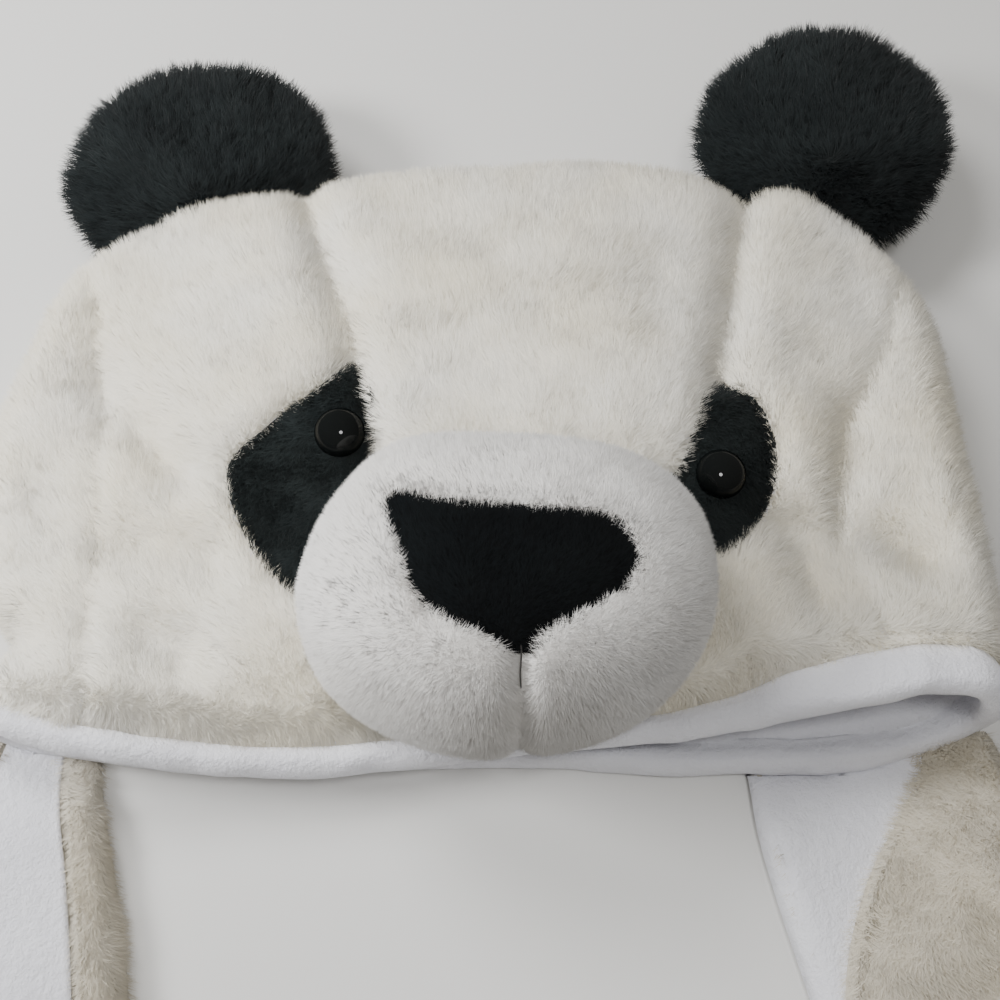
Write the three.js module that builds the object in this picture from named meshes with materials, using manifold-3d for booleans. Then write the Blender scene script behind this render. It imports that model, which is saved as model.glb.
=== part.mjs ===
// A plush panda hat, lying on its back with the face up. Millimetres, +Z up.
// The plan is drawn with +X to the right of the face and +Y from the rim to the crown's top,
// and the finished group is moved so that its origin is the middle of its footprint on the floor.
//
// The crown is a flattened bag. A place on it is given by across, from -1 at the left side fold
// to 1 at the right one, and by along, from 0 at the rim to 1 at the top seam.

import * as THREE from 'three';
import { mergeVertices } from 'three/addons/utils/BufferGeometryUtils.js';
import Module from 'manifold-3d';

const wasm = await Module();
wasm.setup();

// Driving dimensions

const GAP = 0.3;
const PLUSH_WALL = 5;
const FLEECE_WALL = 2;
const LINING_DEPTH = PLUSH_WALL + GAP;
const WHOLE_WALL = LINING_DEPTH + FLEECE_WALL;
const FOLD_RADIUS = 16;
const FOLD_HEIGHT = 15;
const FLAT_FOLD_SHARE = 0.45;
const TOP_SEAM_BACK = 4;
const CHIN_SEAM_X = 5;

// How far the cuts reach, and how finely the faces are divided.
const CUT_BOTTOM = -10;
const CUT_TOP = 120;
const PLAN_REACH = 300;
const WALLS_START = -12;
const HOLLOW_START = -20;
const HEM_CUT_REACH = 15;
const HEM_CUT_MARGIN = 2.7;
const FOLD_SPAN = 145;
const FINE = { columns: 20, rows: 12, arcs: 3 };
const COARSE = { columns: 12, rows: 8, arcs: 2 };
const LIP_STEPS = 4;
const FOLD_SHEET = { reach: 1.2, columns: 12, from: -0.24, to: 1.16, rows: 10 };
const TOP_SEAM_REACH = 0.88;
const TOP_SEAM_STEPS = 22;
const CURVE_STEPS = { seam: 4, patch: 3, muzzle: 3, nose: 2 };
const PLACE_PASSES = 3;
const WELD = 1e-4;
const EYE_SEGMENTS = 16;
const EYE_STEPS = 4;
const EAR_SEGMENTS = 24;
const EAR_SHARES = [0.32, 0.6, 0.8, 0.93];
const EAR_FULLNESS = 2.6;

// The side folds and the height of the front wall, a row for each cross-section from rim to top.
// The five heights stand at -0.8, -0.4, 0, 0.4 and 0.8 across.
const CROSS_SECTIONS = [
  { along: 0.0, left: -150, right: 141, high1: 26, high2: 20, high3: 20, high4: 27, high5: 42 },
  { along: 0.08, left: -148, right: 143, high1: 30, high2: 25, high3: 25, high4: 31, high5: 42 },
  { along: 0.15, left: -139, right: 144, high1: 32, high2: 31, high3: 31, high4: 35, high5: 38 },
  { along: 0.27, left: -152, right: 145, high1: 33, high2: 37, high3: 40, high4: 39, high5: 34 },
  { along: 0.42, left: -157, right: 144, high1: 34, high2: 42, high3: 46, high4: 43, high5: 34 },
  { along: 0.65, left: -155, right: 142, high1: 35, high2: 45, high3: 48, high4: 45, high5: 35 },
  { along: 0.85, left: -148, right: 141, high1: 33, high2: 41, high3: 43, high4: 41, high5: 33 },
  { along: 1.0, left: -142, right: 138, high1: 28, high2: 32, high3: 34, high4: 32, high5: 28 },
];
const HEIGHT_PLACES = [-0.8, -0.4, 0, 0.4, 0.8];

// The rim's two edges, the top outline and the hem's width, a row for each place across.
const ENDS = [
  { across: -1.0, frontRim: -60, backRim: -60, top: 88, frontHem: 9, backHem: 9 },
  { across: -0.83, frontRim: -67, backRim: -65, top: 108, frontHem: 8, backHem: 10 },
  { across: -0.66, frontRim: -71, backRim: -68, top: 120, frontHem: 8, backHem: 10 },
  { across: -0.46, frontRim: -73, backRim: -70, top: 124, frontHem: 8, backHem: 10 },
  { across: -0.3, frontRim: -73, backRim: -70, top: 128, frontHem: 8, backHem: 10 },
  { across: 0.05, frontRim: -68, backRim: -68, top: 133, frontHem: 8, backHem: 10 },
  { across: 0.35, frontRim: -65, backRim: -70, top: 133, frontHem: 8, backHem: 10 },
  { across: 0.6, frontRim: -60, backRim: -70, top: 124, frontHem: 13, backHem: 10 },
  { across: 0.72, frontRim: -58, backRim: -69, top: 125, frontHem: 15, backHem: 10 },
  { across: 0.85, frontRim: -55, backRim: -65, top: 109, frontHem: 13, backHem: 10 },
  { across: 1.0, frontRim: -58, backRim: -58, top: 84, frontHem: 12, backHem: 12 },
];

// Soft creases and seam valleys pressed into the front wall, each along a line in plan.
const CREASES = [
  { fromX: -67, fromY: 124, toX: -44, toY: 48, halfWidth: 7, depth: 3.2 },
  { fromX: 82, fromY: 124, toX: 65, toY: 42, halfWidth: 7, depth: 3.2 },
  { fromX: -36, fromY: 13, toX: 44, toY: 7, halfWidth: 9, depth: 3 },
  { fromX: -121, fromY: 42, toX: -92, toY: 10, halfWidth: 8, depth: 3 },
  { fromX: -108, fromY: -10, toX: -84, toY: -14, halfWidth: 8, depth: 3 },
  { fromX: -96, fromY: -38, toX: -88, toY: -40, halfWidth: 9, depth: 3 },
  { fromX: 84, fromY: -6, toX: 92, toY: -26, halfWidth: 10, depth: 5 },
  { fromX: 112, fromY: -8, toX: 122, toY: -14, halfWidth: 9, depth: 5 },
  { fromX: 104, fromY: 30, toX: 99, toY: -6, halfWidth: 7, depth: 3 },
];

// Seam lines in plan, each a smooth curve through a few places.
const LEFT_SIDE_SEAM = [[-116, -90], [-116, -62], [-117, -15], [-120, 24], [-126, 63], [-134, 88]];
const RIGHT_SIDE_SEAM = [[130, 83], [117, 50], [101, 19], [100, -8], [105, -30], [108, -48], [109, -90]];
const LEFT_DART = [[-69, 150], [-67, 120], [-57, 88], [-46, 60], [-41, 45]];
const RIGHT_DART = [[67, 26], [65, 42], [69, 58], [76, 88], [82, 118], [84, 150]];
const BROW_SEAM = [[-38, 12], [-34, 4], [4, 0], [40, -2], [58, 8]];
const LEFT_PATCH = [[-42, 47], [-37.5, 30], [-36, 10], [-42, -10], [-53, -26.5], [-64, -21], [-74, -6],
  [-79, 12], [-68, 24], [-52, 37]];
const RIGHT_PATCH = [[64, 40], [76, 34], [81, 20], [79, 5], [73, -5], [62, -15.5], [52, -8], [43, 4],
  [52, 12], [57, 26]];

const MUZZLE_CENTRE = [2.5, -31];
const MUZZLE_OUTLINE = [[57, -29], [52, -8], [34, 6], [0, 11], [-30, 8], [-46, -10], [-53, -35],
  [-44, -59], [-20, -72], [6, -74], [34, -67], [52, -49]];
// The muzzle's profile from its seam up to its crown: a share of the outline, and a height.
const MUZZLE_PROFILE = [
  { share: 0.86, height: 8 },
  { share: 0.9, height: 24 },
  { share: 0.965, height: 38 },
  { share: 1.0, height: 52 },
  { share: 0.985, height: 60 },
  { share: 0.92, height: 69 },
  { share: 0.8, height: 76 },
  { share: 0.62, height: 81 },
  { share: 0.36, height: 84 },
];
const MUZZLE_TOP = 85;
const MUZZLE_TILT = 5;
const MUZZLE_TILT_FROM = 52;
const MUZZLE_REACH = 42;
const CHIN_GROOVE = { depth: 4, halfWidth: 5, fromY: -50, fullY: -62 };
const NOSE_OUTLINE = [[-28.5, -16], [-12, -19.5], [10, -21.5], [27, -23.5], [34, -32], [31, -41],
  [12, -53], [5, -58], [-4, -54.5], [-17, -48], [-24, -34]];
const NOSE_THICKNESS = 4;
const NOSE_PROUD = 0.8;

const EARS = [
  { side: 'left', x: -102, y: 132, wide: 46.5, deep: 46, turn: 20, rootZ: 20, tipZ: 25 },
  { side: 'right', x: 111, y: 144, wide: 43.5, deep: 46, turn: -27, rootZ: 20, tipZ: 31 },
];
const EAR_HALF_THICKNESS = 9;

const EYES = [
  { side: 'left', x: -46.3, y: 20.3 },
  { side: 'right', x: 63.3, y: 8.3 },
];
const EYE_RADIUS = 7.3;
const EYE_DOME = 5.5;
const EYE_SEAT = 2.5;
const EYE_SEAT_TOP = 11;
const EYE_FOOT_SHARE = 0.9;

// The ear flaps, a row for each distance down from where they start behind the rim: the inner
// edge, the edge of the plush that comes over the fleece, and the outer fold.
const LEFT_FLAP = [
  { down: 0, inner: -115, cover: -125, outer: -147 },
  { down: 20, inner: -114.5, cover: -125, outer: -151 },
  { down: 50, inner: -107, cover: -118, outer: -156 },
  { down: 80, inner: -100, cover: -112, outer: -156 },
  { down: 105, inner: -99, cover: -109, outer: -151 },
  { down: 120, inner: -105, cover: -112, outer: -140 },
  { down: 128, inner: -115, cover: -118, outer: -129 },
];
const RIGHT_FLAP = [
  { down: 0, inner: 72, cover: 119, outer: 139 },
  { down: 20, inner: 72.5, cover: 118.5, outer: 144 },
  { down: 50, inner: 78, cover: 101, outer: 149 },
  { down: 80, inner: 85.5, cover: 92, outer: 148 },
  { down: 105, inner: 91, cover: 95, outer: 142 },
  { down: 120, inner: 98, cover: 102, outer: 131 },
  { down: 128, inner: 108, cover: 111, outer: 120 },
];
const FLAP_START_Y = -50;
const FLAP_STATIONS = 12;
const FULL_FOLD = 16;
const FLEECE_BOTTOM = PLUSH_WALL + GAP;
const FLEECE_TOP = FLEECE_BOTTOM + FLEECE_WALL;

// The flaps' sections. Each point stands at shares of the inner edge, the cover's edge and the outer
// fold, moved to the right by an inset, at a height.
// The left flap lies open: plush below, with its edges rolled up round the fleece.
const LEFT_FLAP_SECTION = [
  { inner: 0.8, cover: 0.2, outer: 0, inset: 0, height: 0 },
  { inner: 1, cover: 0, outer: 0, inset: 0, height: 3 },
  { inner: 1, cover: 0, outer: 0, inset: 0, height: 6.5 },
  { inner: 0.75, cover: 0.25, outer: 0, inset: 0, height: 9 },
  { inner: 0.5, cover: 0.5, outer: 0, inset: 0, height: 9.5 },
  { inner: 0.15, cover: 0.85, outer: 0, inset: 0, height: 8.8 },
  { inner: 0, cover: 1, outer: 0, inset: 0, height: 7 },
  { inner: 0, cover: 1, outer: 0, inset: 0, height: PLUSH_WALL },
  { inner: 0, cover: 0, outer: 1, inset: 4, height: PLUSH_WALL },
  { inner: 0, cover: 0, outer: 1, inset: 4, height: 7 },
  { inner: 0, cover: 0, outer: 1, inset: 2.5, height: 8 },
  { inner: 0, cover: 0, outer: 1, inset: 0, height: 5.5 },
  { inner: 0, cover: 0, outer: 1, inset: 0, height: 3 },
  { inner: 0, cover: 0, outer: 1, inset: 2, height: 0 },
];
const LEFT_FLEECE_SECTION = [
  { inner: 0, cover: 1, outer: 0, inset: -0.4, height: FLEECE_BOTTOM },
  { inner: 0, cover: 1, outer: 0, inset: -0.4, height: FLEECE_TOP },
  { inner: 0, cover: 0, outer: 1, inset: 4.4, height: FLEECE_TOP },
  { inner: 0, cover: 0, outer: 1, inset: 4.4, height: FLEECE_BOTTOM },
];
// The right flap is folded lengthwise, so its outer half comes over the fleece, plush side up.
const RIGHT_FLAP_SECTION = [
  { inner: 1, cover: 0, outer: 0, inset: 2, height: 0 },
  { inner: 0, cover: 0, outer: 1, inset: -3, height: 0 },
  { inner: 0, cover: 0, outer: 1, inset: 0, height: 4 },
  { inner: 0, cover: 0, outer: 1, inset: 0, height: 9.5 },
  { inner: 0, cover: 0, outer: 1, inset: -3, height: 12.8 },
  { inner: 0, cover: 0.5, outer: 0.5, inset: 0, height: 13.6 },
  { inner: 0, cover: 1, outer: 0, inset: 2, height: 12.6 },
  { inner: 0, cover: 1, outer: 0, inset: 0, height: 10.5 },
  { inner: 0, cover: 1, outer: 0, inset: 1, height: FLEECE_TOP + GAP },
  { inner: 0, cover: 0, outer: 1, inset: -5, height: FLEECE_TOP + GAP },
  { inner: 0, cover: 0, outer: 1, inset: -5, height: PLUSH_WALL },
  { inner: 1, cover: 0, outer: 0, inset: 2, height: PLUSH_WALL },
  { inner: 1, cover: 0, outer: 0, inset: 0, height: 3 },
  { inner: 1, cover: 0, outer: 0, inset: 0, height: 1.5 },
];
const RIGHT_FLEECE_SECTION = [
  { inner: 1, cover: 0, outer: 0, inset: 1, height: FLEECE_BOTTOM },
  { inner: 0, cover: 0, outer: 1, inset: -5.4, height: FLEECE_BOTTOM },
  { inner: 0, cover: 0, outer: 1, inset: -5.4, height: FLEECE_TOP },
  { inner: 1, cover: 0, outer: 0, inset: 1, height: FLEECE_TOP },
];

const WHITE_PLUSH = { color: 0xe4e0d6, roughness: 0.95 };
const WHITE_FLEECE = { color: 0xdcdde6, roughness: 0.9 };
const BLACK_PLUSH = { color: 0x1b1f20, roughness: 0.95 };
const EYE_PLASTIC = { color: 0x0b0c0d, roughness: 0.12 };

// Reading tables and drawing outlines

// One column of a table at a place between its rows, on a smooth curve through them.
function readTable(rows, key, column, place) {
  const last = rows.length - 1;
  let index = 0;
  while (index < last - 1 && place > rows[index + 1][key]) index += 1;
  const slopeAt = (row) => {
    const before = rows[Math.max(row - 1, 0)];
    const after = rows[Math.min(row + 1, last)];
    return (after[column] - before[column]) / (after[key] - before[key]);
  };
  const from = rows[index];
  const to = rows[index + 1];
  const span = to[key] - from[key];
  const t = THREE.MathUtils.clamp((place - from[key]) / span, 0, 1);
  const rise = to[column] - from[column];
  const bend = (2 * t - 1) * rise - span * ((t - 1) * slopeAt(index) + t * slopeAt(index + 1));
  return from[column] + t * rise + t * (1 - t) * bend;
}

// Points on a smooth curve through the given places.
function smoothLine(places, closed = false, steps = CURVE_STEPS.seam) {
  const points = places.map(([x, y]) => new THREE.Vector3(x, y, 0));
  const curve = new THREE.CatmullRomCurve3(points, closed, 'centripetal');
  const count = steps * (closed ? places.length : places.length - 1);
  const line = curve.getPoints(count).map((point) => [point.x, point.y]);
  if (closed) line.pop();
  return line;
}

// An outline moved outward by a distance, or inward by a negative one.
function growOutline(outline, distance) {
  const around = Math.sign(THREE.ShapeUtils.area(outline.map(([x, y]) => ({ x, y }))));
  return outline.map(([x, y], index) => {
    const before = outline[(index + outline.length - 1) % outline.length];
    const after = outline[(index + 1) % outline.length];
    const out = new THREE.Vector2(after[1] - before[1], before[0] - after[0]).normalize();
    return [x + around * distance * out.x, y + around * distance * out.y];
  });
}

// Solids, cuts and meshes

function solidOf(geometry) {
  const bare = geometry.clone();
  bare.deleteAttribute('normal');
  bare.deleteAttribute('uv');
  const merged = mergeVertices(bare, WELD);
  const vertProperties = new Float32Array(merged.attributes.position.array);
  const triVerts = new Uint32Array(merged.index.array);
  return new wasm.Manifold(new wasm.Mesh({ numProp: 3, vertProperties, triVerts }));
}

function geometryOf(solid) {
  const { vertProperties, triVerts } = solid.getMesh();
  const geometry = new THREE.BufferGeometry();
  geometry.setAttribute('position', new THREE.BufferAttribute(new Float32Array(vertProperties), 3));
  geometry.setIndex(new THREE.BufferAttribute(new Uint32Array(triVerts), 1));
  return geometry;
}

// A solid from triangles, each given as three corners.
function solidOfTriangles(triangles) {
  const geometry = new THREE.BufferGeometry();
  const corners = new Float32Array(triangles.flat(2));
  geometry.setAttribute('position', new THREE.BufferAttribute(corners, 3));
  const indexed = mergeVertices(geometry, WELD);
  const index = Array.from(indexed.index.array);
  const kept = [];
  for (let i = 0; i < index.length; i += 3) {
    const [a, b, c] = index.slice(i, i + 3);
    if (a !== b && b !== c && c !== a) kept.push(a, b, c);
  }
  indexed.setIndex(kept);
  return solidOf(indexed);
}

// Two triangles for each cell of a grid of points. The cells of the left half are split the other
// way, so that no triangle lies wholly on the edge where two sheets meet.
function gridTriangles(grid, flipped = false) {
  const triangles = [];
  for (let row = 0; row < grid.length - 1; row += 1) {
    const cells = grid[row].length - 1;
    for (let column = 0; column < cells; column += 1) {
      const a = grid[row][column];
      const b = grid[row][column + 1];
      const c = grid[row + 1][column + 1];
      const d = grid[row + 1][column];
      const pair = column < cells / 2 ? [[a, b, d], [b, c, d]] : [[a, b, c], [a, c, d]];
      for (const [p, q, r] of pair) triangles.push(flipped ? [p, r, q] : [p, q, r]);
    }
  }
  return triangles;
}

// An upright block with the given outline in plan.
function block(outline, bottom, top) {
  const shape = new THREE.Shape(outline.map(([x, y]) => new THREE.Vector2(x, y)));
  const geometry = new THREE.ExtrudeGeometry(shape, { depth: top - bottom, bevelEnabled: false });
  geometry.translate(0, 0, bottom);
  return solidOf(geometry);
}

const hat = new THREE.Group();
hat.name = 'plush_panda_hat';

function addPiece(name, solid, look) {
  const mesh = new THREE.Mesh(geometryOf(solid), new THREE.MeshStandardMaterial(look));
  mesh.material.metalness = 0;
  mesh.name = name;
  hat.add(mesh);
  return mesh;
}

// The crown's form

function creaseDepth(x, y) {
  let depth = 0;
  for (const crease of CREASES) {
    const run = new THREE.Vector2(crease.toX - crease.fromX, crease.toY - crease.fromY);
    const from = new THREE.Vector2(x - crease.fromX, y - crease.fromY);
    const share = THREE.MathUtils.clamp(from.dot(run) / run.lengthSq(), 0, 1);
    const away = from.sub(run.multiplyScalar(share)).length() / crease.halfWidth;
    depth += crease.depth * Math.exp(-away * away);
  }
  return depth;
}

function frontHeight(across, along) {
  const rows = HEIGHT_PLACES.map((place, index) => {
    const high = readTable(CROSS_SECTIONS, 'along', `high${index + 1}`, along);
    return { across: place, high };
  });
  return readTable(rows, 'across', 'high', across);
}

// The height at which the front wall turns into the back wall.
function foldHeight(across, along) {
  return Math.min(FOLD_HEIGHT, FLAT_FOLD_SHARE * frontHeight(across, along));
}

// How far a fold has risen at a distance from its edge: a quarter circle, then level.
function foldRise(distance, radius) {
  const short = Math.max(0, 1 - distance / radius);
  return Math.sqrt(Math.max(0, 1 - short * short));
}

// A point on the crown, depth millimetres inside its outer face. The place is given by the
// distance from the rim and by a column, which counts the distance from the nearer side fold.
function crownPoint(sheet, column, row, depth) {
  const radius = FOLD_RADIUS - depth;
  const rim = sheet === 'front' ? 'frontRim' : 'backRim';
  const roughAcross = column.share * 2 - 1;
  const roughTop = readTable(ENDS, 'across', 'top', roughAcross) - depth;
  const rimY = readTable(ENDS, 'across', rim, roughAcross);
  const flatTop = roughTop - radius;
  const startY = rimY + row.fromRim(sheet, roughAcross);
  const y = row.arc === undefined
    ? THREE.MathUtils.lerp(startY, flatTop, row.share)
    : roughTop - radius * (1 - Math.cos(row.arc));
  const frontRimY = readTable(ENDS, 'across', 'frontRim', roughAcross);
  const along = Math.max(0, (y - frontRimY) / (roughTop + depth - frontRimY));
  const left = readTable(CROSS_SECTIONS, 'along', 'left', along) + depth;
  const right = readTable(CROSS_SECTIONS, 'along', 'right', along) - depth;
  const inset = column.arc === undefined ? 0 : radius * (1 - Math.cos(column.arc));
  let x = THREE.MathUtils.lerp(left + radius, right - radius, column.flatShare);
  if (column.end === 'left') x = left + inset;
  if (column.end === 'right') x = right - inset;
  const across = THREE.MathUtils.clamp((2 * x - left - right) / (right - left + 2 * depth), -1, 1);
  const sideRise = foldRise(Math.min(x - left, right - x), radius);
  const topRise = foldRise(roughTop - y, radius);
  const rise = sideRise * topRise;
  const fold = foldHeight(across, along);
  if (sheet === 'back') return [x, y, fold - (fold - depth) * rise];
  const high = frontHeight(across, along) - creaseDepth(x, y) - depth;
  return [x, y, fold + (high - fold) * rise];
}

// The columns of a crown grid: a few round each side fold and the rest evenly between them.
function crownColumns(flatCount, arcCount) {
  const columns = [];
  const foldShare = FOLD_RADIUS / (2 * FOLD_SPAN);
  for (let i = 0; i < arcCount; i += 1) {
    const arc = (Math.PI / 2) * (i / arcCount);
    columns.push({ end: 'left', arc, share: foldShare * (1 - Math.cos(arc)) });
  }
  for (let i = 0; i <= flatCount; i += 1) {
    const flatShare = i / flatCount;
    columns.push({ flatShare, share: foldShare + flatShare * (1 - 2 * foldShare) });
  }
  for (let i = arcCount - 1; i >= 0; i -= 1) {
    const arc = (Math.PI / 2) * (i / arcCount);
    columns.push({ end: 'right', arc, share: 1 - foldShare * (1 - Math.cos(arc)) });
  }
  return columns;
}

// The rows of a crown grid, from a start line before the rim to the top fold's edge. The rows past
// the rim are the same for every body, so that faces at two depths stay apart all over.
function crownRows(flatCount, arcCount, start) {
  const rows = [{ share: 0, fromRim: () => start }, { share: 0, fromRim: () => 0 }];
  for (let i = 0; i <= flatCount; i += 1) rows.push({ share: i / flatCount, fromRim: pastHem });
  for (let i = arcCount - 1; i >= 0; i -= 1) {
    rows.push({ arc: (Math.PI / 2) * (i / arcCount), fromRim: pastHem });
  }
  return rows;
}

function hemWidth(sheet, across) {
  return readTable(ENDS, 'across', sheet === 'front' ? 'frontHem' : 'backHem', across);
}

function pastHem(sheet, across) {
  return hemWidth(sheet, across) + GAP;
}

// The closed body that the crown's face at a depth wraps round, from a start line to the top.
function crownBody(depth, detail, start) {
  const columns = crownColumns(detail.columns, detail.arcs);
  const rows = crownRows(detail.rows, detail.arcs, start);
  const sheetGrid = (sheet) => rows.map((row) => (
    columns.map((column) => crownPoint(sheet, column, row, depth))));
  const front = sheetGrid('front');
  const back = sheetGrid('back');
  return solidOfTriangles([
    ...gridTriangles(front),
    ...gridTriangles(back, true),
    ...gridTriangles([back[0], front[0]]),
  ]);
}

// The height of the front wall's outer face at a place in plan, away from the folds.
function frontFaceHeight(x, y) {
  let across = x / FOLD_SPAN;
  let along = 0;
  for (let pass = 0; pass < PLACE_PASSES; pass += 1) {
    const rimY = readTable(ENDS, 'across', 'frontRim', across);
    along = (y - rimY) / (readTable(ENDS, 'across', 'top', across) - rimY);
    const left = readTable(CROSS_SECTIONS, 'along', 'left', along);
    const right = readTable(CROSS_SECTIONS, 'along', 'right', along);
    across = (2 * x - left - right) / (right - left);
  }
  return frontHeight(across, along) - creaseDepth(x, y);
}

// Everything above the line where front and back walls meet, raised or lowered a little.
function aboveFolds(lift) {
  const under = [];
  const over = [];
  for (let row = 0; row <= FOLD_SHEET.rows; row += 1) {
    const along = THREE.MathUtils.lerp(FOLD_SHEET.from, FOLD_SHEET.to, row / FOLD_SHEET.rows);
    const place = THREE.MathUtils.clamp(along, 0, 1);
    const left = readTable(CROSS_SECTIONS, 'along', 'left', place);
    const right = readTable(CROSS_SECTIONS, 'along', 'right', place);
    const underRow = [];
    for (let column = 0; column <= FOLD_SHEET.columns; column += 1) {
      const across = FOLD_SHEET.reach * ((2 * column) / FOLD_SHEET.columns - 1);
      const inside = THREE.MathUtils.clamp(across, -1, 1);
      const rimY = readTable(ENDS, 'across', 'frontRim', inside);
      const topY = readTable(ENDS, 'across', 'top', inside);
      const x = THREE.MathUtils.lerp(left, right, (across + 1) / 2);
      const y = THREE.MathUtils.lerp(rimY, topY, along);
      underRow.push([x, y, foldHeight(inside, place) + lift]);
    }
    under.push(underRow);
    over.push(underRow.map(([x, y]) => [x, y, CUT_TOP]));
  }
  const last = under.length - 1;
  const edge = under[0].length - 1;
  const sideOf = (grid, column) => grid.map((row) => row[column]);
  return solidOfTriangles([
    ...gridTriangles(over),
    ...gridTriangles(under, true),
    ...gridTriangles([under[0], over[0]]),
    ...gridTriangles([over[last], under[last]]),
    ...gridTriangles([sideOf(over, 0), sideOf(under, 0)]),
    ...gridTriangles([sideOf(under, edge), sideOf(over, edge)]),
  ]);
}

// The hem, one roll of fleece all round the rim

// The hem's section: up its outer face, round the lip and down its inner face, each point as a
// distance from the rim and a depth inside the crown's outer face.
function hemSection(width) {
  const lip = WHOLE_WALL / 2;
  const section = [[width, 0]];
  for (let i = 0; i <= LIP_STEPS; i += 1) {
    const turn = Math.PI * (i / LIP_STEPS);
    section.push([lip * (1 - Math.sin(turn)), lip * (1 - Math.cos(turn))]);
  }
  section.push([width, WHOLE_WALL]);
  return section;
}

// The section of the room that the hem takes, past its lip by a reach and past its faces by a margin.
function hemRoom(reach, margin) {
  const deep = WHOLE_WALL + margin;
  return (width) => [
    [width + GAP, -margin], [-reach, -margin], [-reach, deep],
    [width + GAP, deep], [width + GAP, WHOLE_WALL], [width + GAP, 0],
  ];
}

// A section carried all round the rim.
function roundRim(drawSection) {
  const columns = crownColumns(FINE.columns, FINE.arcs);
  const around = [
    ...columns.map((column) => ({ sheet: 'front', column })),
    ...columns.slice(1, -1).reverse().map((column) => ({ sheet: 'back', column })),
  ];
  const grid = around.map(({ sheet, column }) => {
    const width = hemWidth(sheet, column.share * 2 - 1);
    return drawSection(width).map(([fromRim, depth]) => (
      crownPoint(sheet, column, { share: 0, fromRim: () => fromRim }, depth)));
  });
  grid.push(grid[0]);
  return solidOfTriangles(gridTriangles(grid.map((section) => [...section, section[0]])));
}

addPiece('rim_hem', roundRim(hemSection), WHITE_FLEECE);
const hemCut = roundRim(hemRoom(HEM_CUT_REACH, HEM_CUT_MARGIN));
const hemClearance = roundRim(hemRoom(GAP, GAP));

// The plush wall, cut along its seams into panels and patches

const plushWall = crownBody(0, FINE, WALLS_START)
  .subtract(crownBody(PLUSH_WALL, COARSE, HOLLOW_START))
  .subtract(hemCut);
const crownClearance = crownBody(-GAP, FINE, -GAP);

// The seam all round the front: up the left side, along the top just behind its edge, and down
// the right side.
function frontOutline() {
  const topEdge = [];
  const left = readTable(CROSS_SECTIONS, 'along', 'left', 1);
  const right = readTable(CROSS_SECTIONS, 'along', 'right', 1);
  for (let step = 0; step <= TOP_SEAM_STEPS; step += 1) {
    const across = TOP_SEAM_REACH * ((2 * step) / TOP_SEAM_STEPS - 1);
    const x = THREE.MathUtils.lerp(left, right, (across + 1) / 2);
    topEdge.push([x, readTable(ENDS, 'across', 'top', across) - TOP_SEAM_BACK]);
  }
  return [...smoothLine(LEFT_SIDE_SEAM), ...topEdge, ...smoothLine(RIGHT_SIDE_SEAM)];
}

const frontSeam = frontOutline();
const foreheadOutline = [...smoothLine(LEFT_DART), ...smoothLine(BROW_SEAM), ...smoothLine(RIGHT_DART)];
const leftPatchOutline = smoothLine(LEFT_PATCH, true, CURVE_STEPS.patch);
const rightPatchOutline = smoothLine(RIGHT_PATCH, true, CURVE_STEPS.patch);

// A tall block inside an outline that is moved out, or in, by half of the seam gap.
function cutter(outline, side) {
  return block(growOutline(outline, (side * GAP) / 2), CUT_BOTTOM, CUT_TOP);
}

const frontWall = plushWall.intersect(aboveFolds(GAP / 2)).intersect(cutter(frontSeam, -1));
const backWall = plushWall.subtract(aboveFolds(-GAP / 2).intersect(cutter(frontSeam, 1)));
const whiteFront = frontWall
  .subtract(cutter(leftPatchOutline, 1))
  .subtract(cutter(rightPatchOutline, 1));
const cheeks = whiteFront.subtract(cutter(foreheadOutline, 1));

// Half of the plan, left or right of the seam under the chin.
function halfPlan(side) {
  const near = CHIN_SEAM_X + (side * GAP) / 2;
  const far = side * PLAN_REACH;
  return block([[near, -PLAN_REACH], [far, -PLAN_REACH], [far, PLAN_REACH], [near, PLAN_REACH]],
    CUT_BOTTOM, CUT_TOP);
}

addPiece('forehead_panel', whiteFront.intersect(cutter(foreheadOutline, -1)), WHITE_PLUSH);
addPiece('cheek_panel_left', cheeks.intersect(halfPlan(-1)), WHITE_PLUSH);
addPiece('cheek_panel_right', cheeks.intersect(halfPlan(1)), WHITE_PLUSH);
addPiece('back_panel', backWall, WHITE_PLUSH);

// The lining, a fleece shell just inside the plush

const lining = crownBody(LINING_DEPTH, COARSE, WALLS_START)
  .subtract(crownBody(WHOLE_WALL, COARSE, HOLLOW_START))
  .subtract(hemCut);
addPiece('lining', lining, WHITE_FLEECE);

// Round bodies: a stack of rings between a lowest and a highest point

function ringBody(bottom, rings, top) {
  const closed = rings.map((ring) => [...ring, ring[0]]);
  const first = closed[0];
  const last = closed[closed.length - 1];
  const triangles = gridTriangles(closed);
  for (let i = 0; i < first.length - 1; i += 1) {
    triangles.push([first[i + 1], first[i], bottom]);
    triangles.push([last[i], last[i + 1], top]);
  }
  return solidOfTriangles(triangles);
}

// The muzzle and the nose

const muzzleEdge = smoothLine(MUZZLE_OUTLINE, true, CURVE_STEPS.muzzle);

// How deep the chin's groove is at a place on the muzzle.
function chinGroove(x, y) {
  const away = (x - CHIN_SEAM_X) / CHIN_GROOVE.halfWidth;
  const down = (CHIN_GROOVE.fromY - y) / (CHIN_GROOVE.fromY - CHIN_GROOVE.fullY);
  return CHIN_GROOVE.depth * Math.exp(-away * away) * THREE.MathUtils.clamp(down, 0, 1);
}

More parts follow.
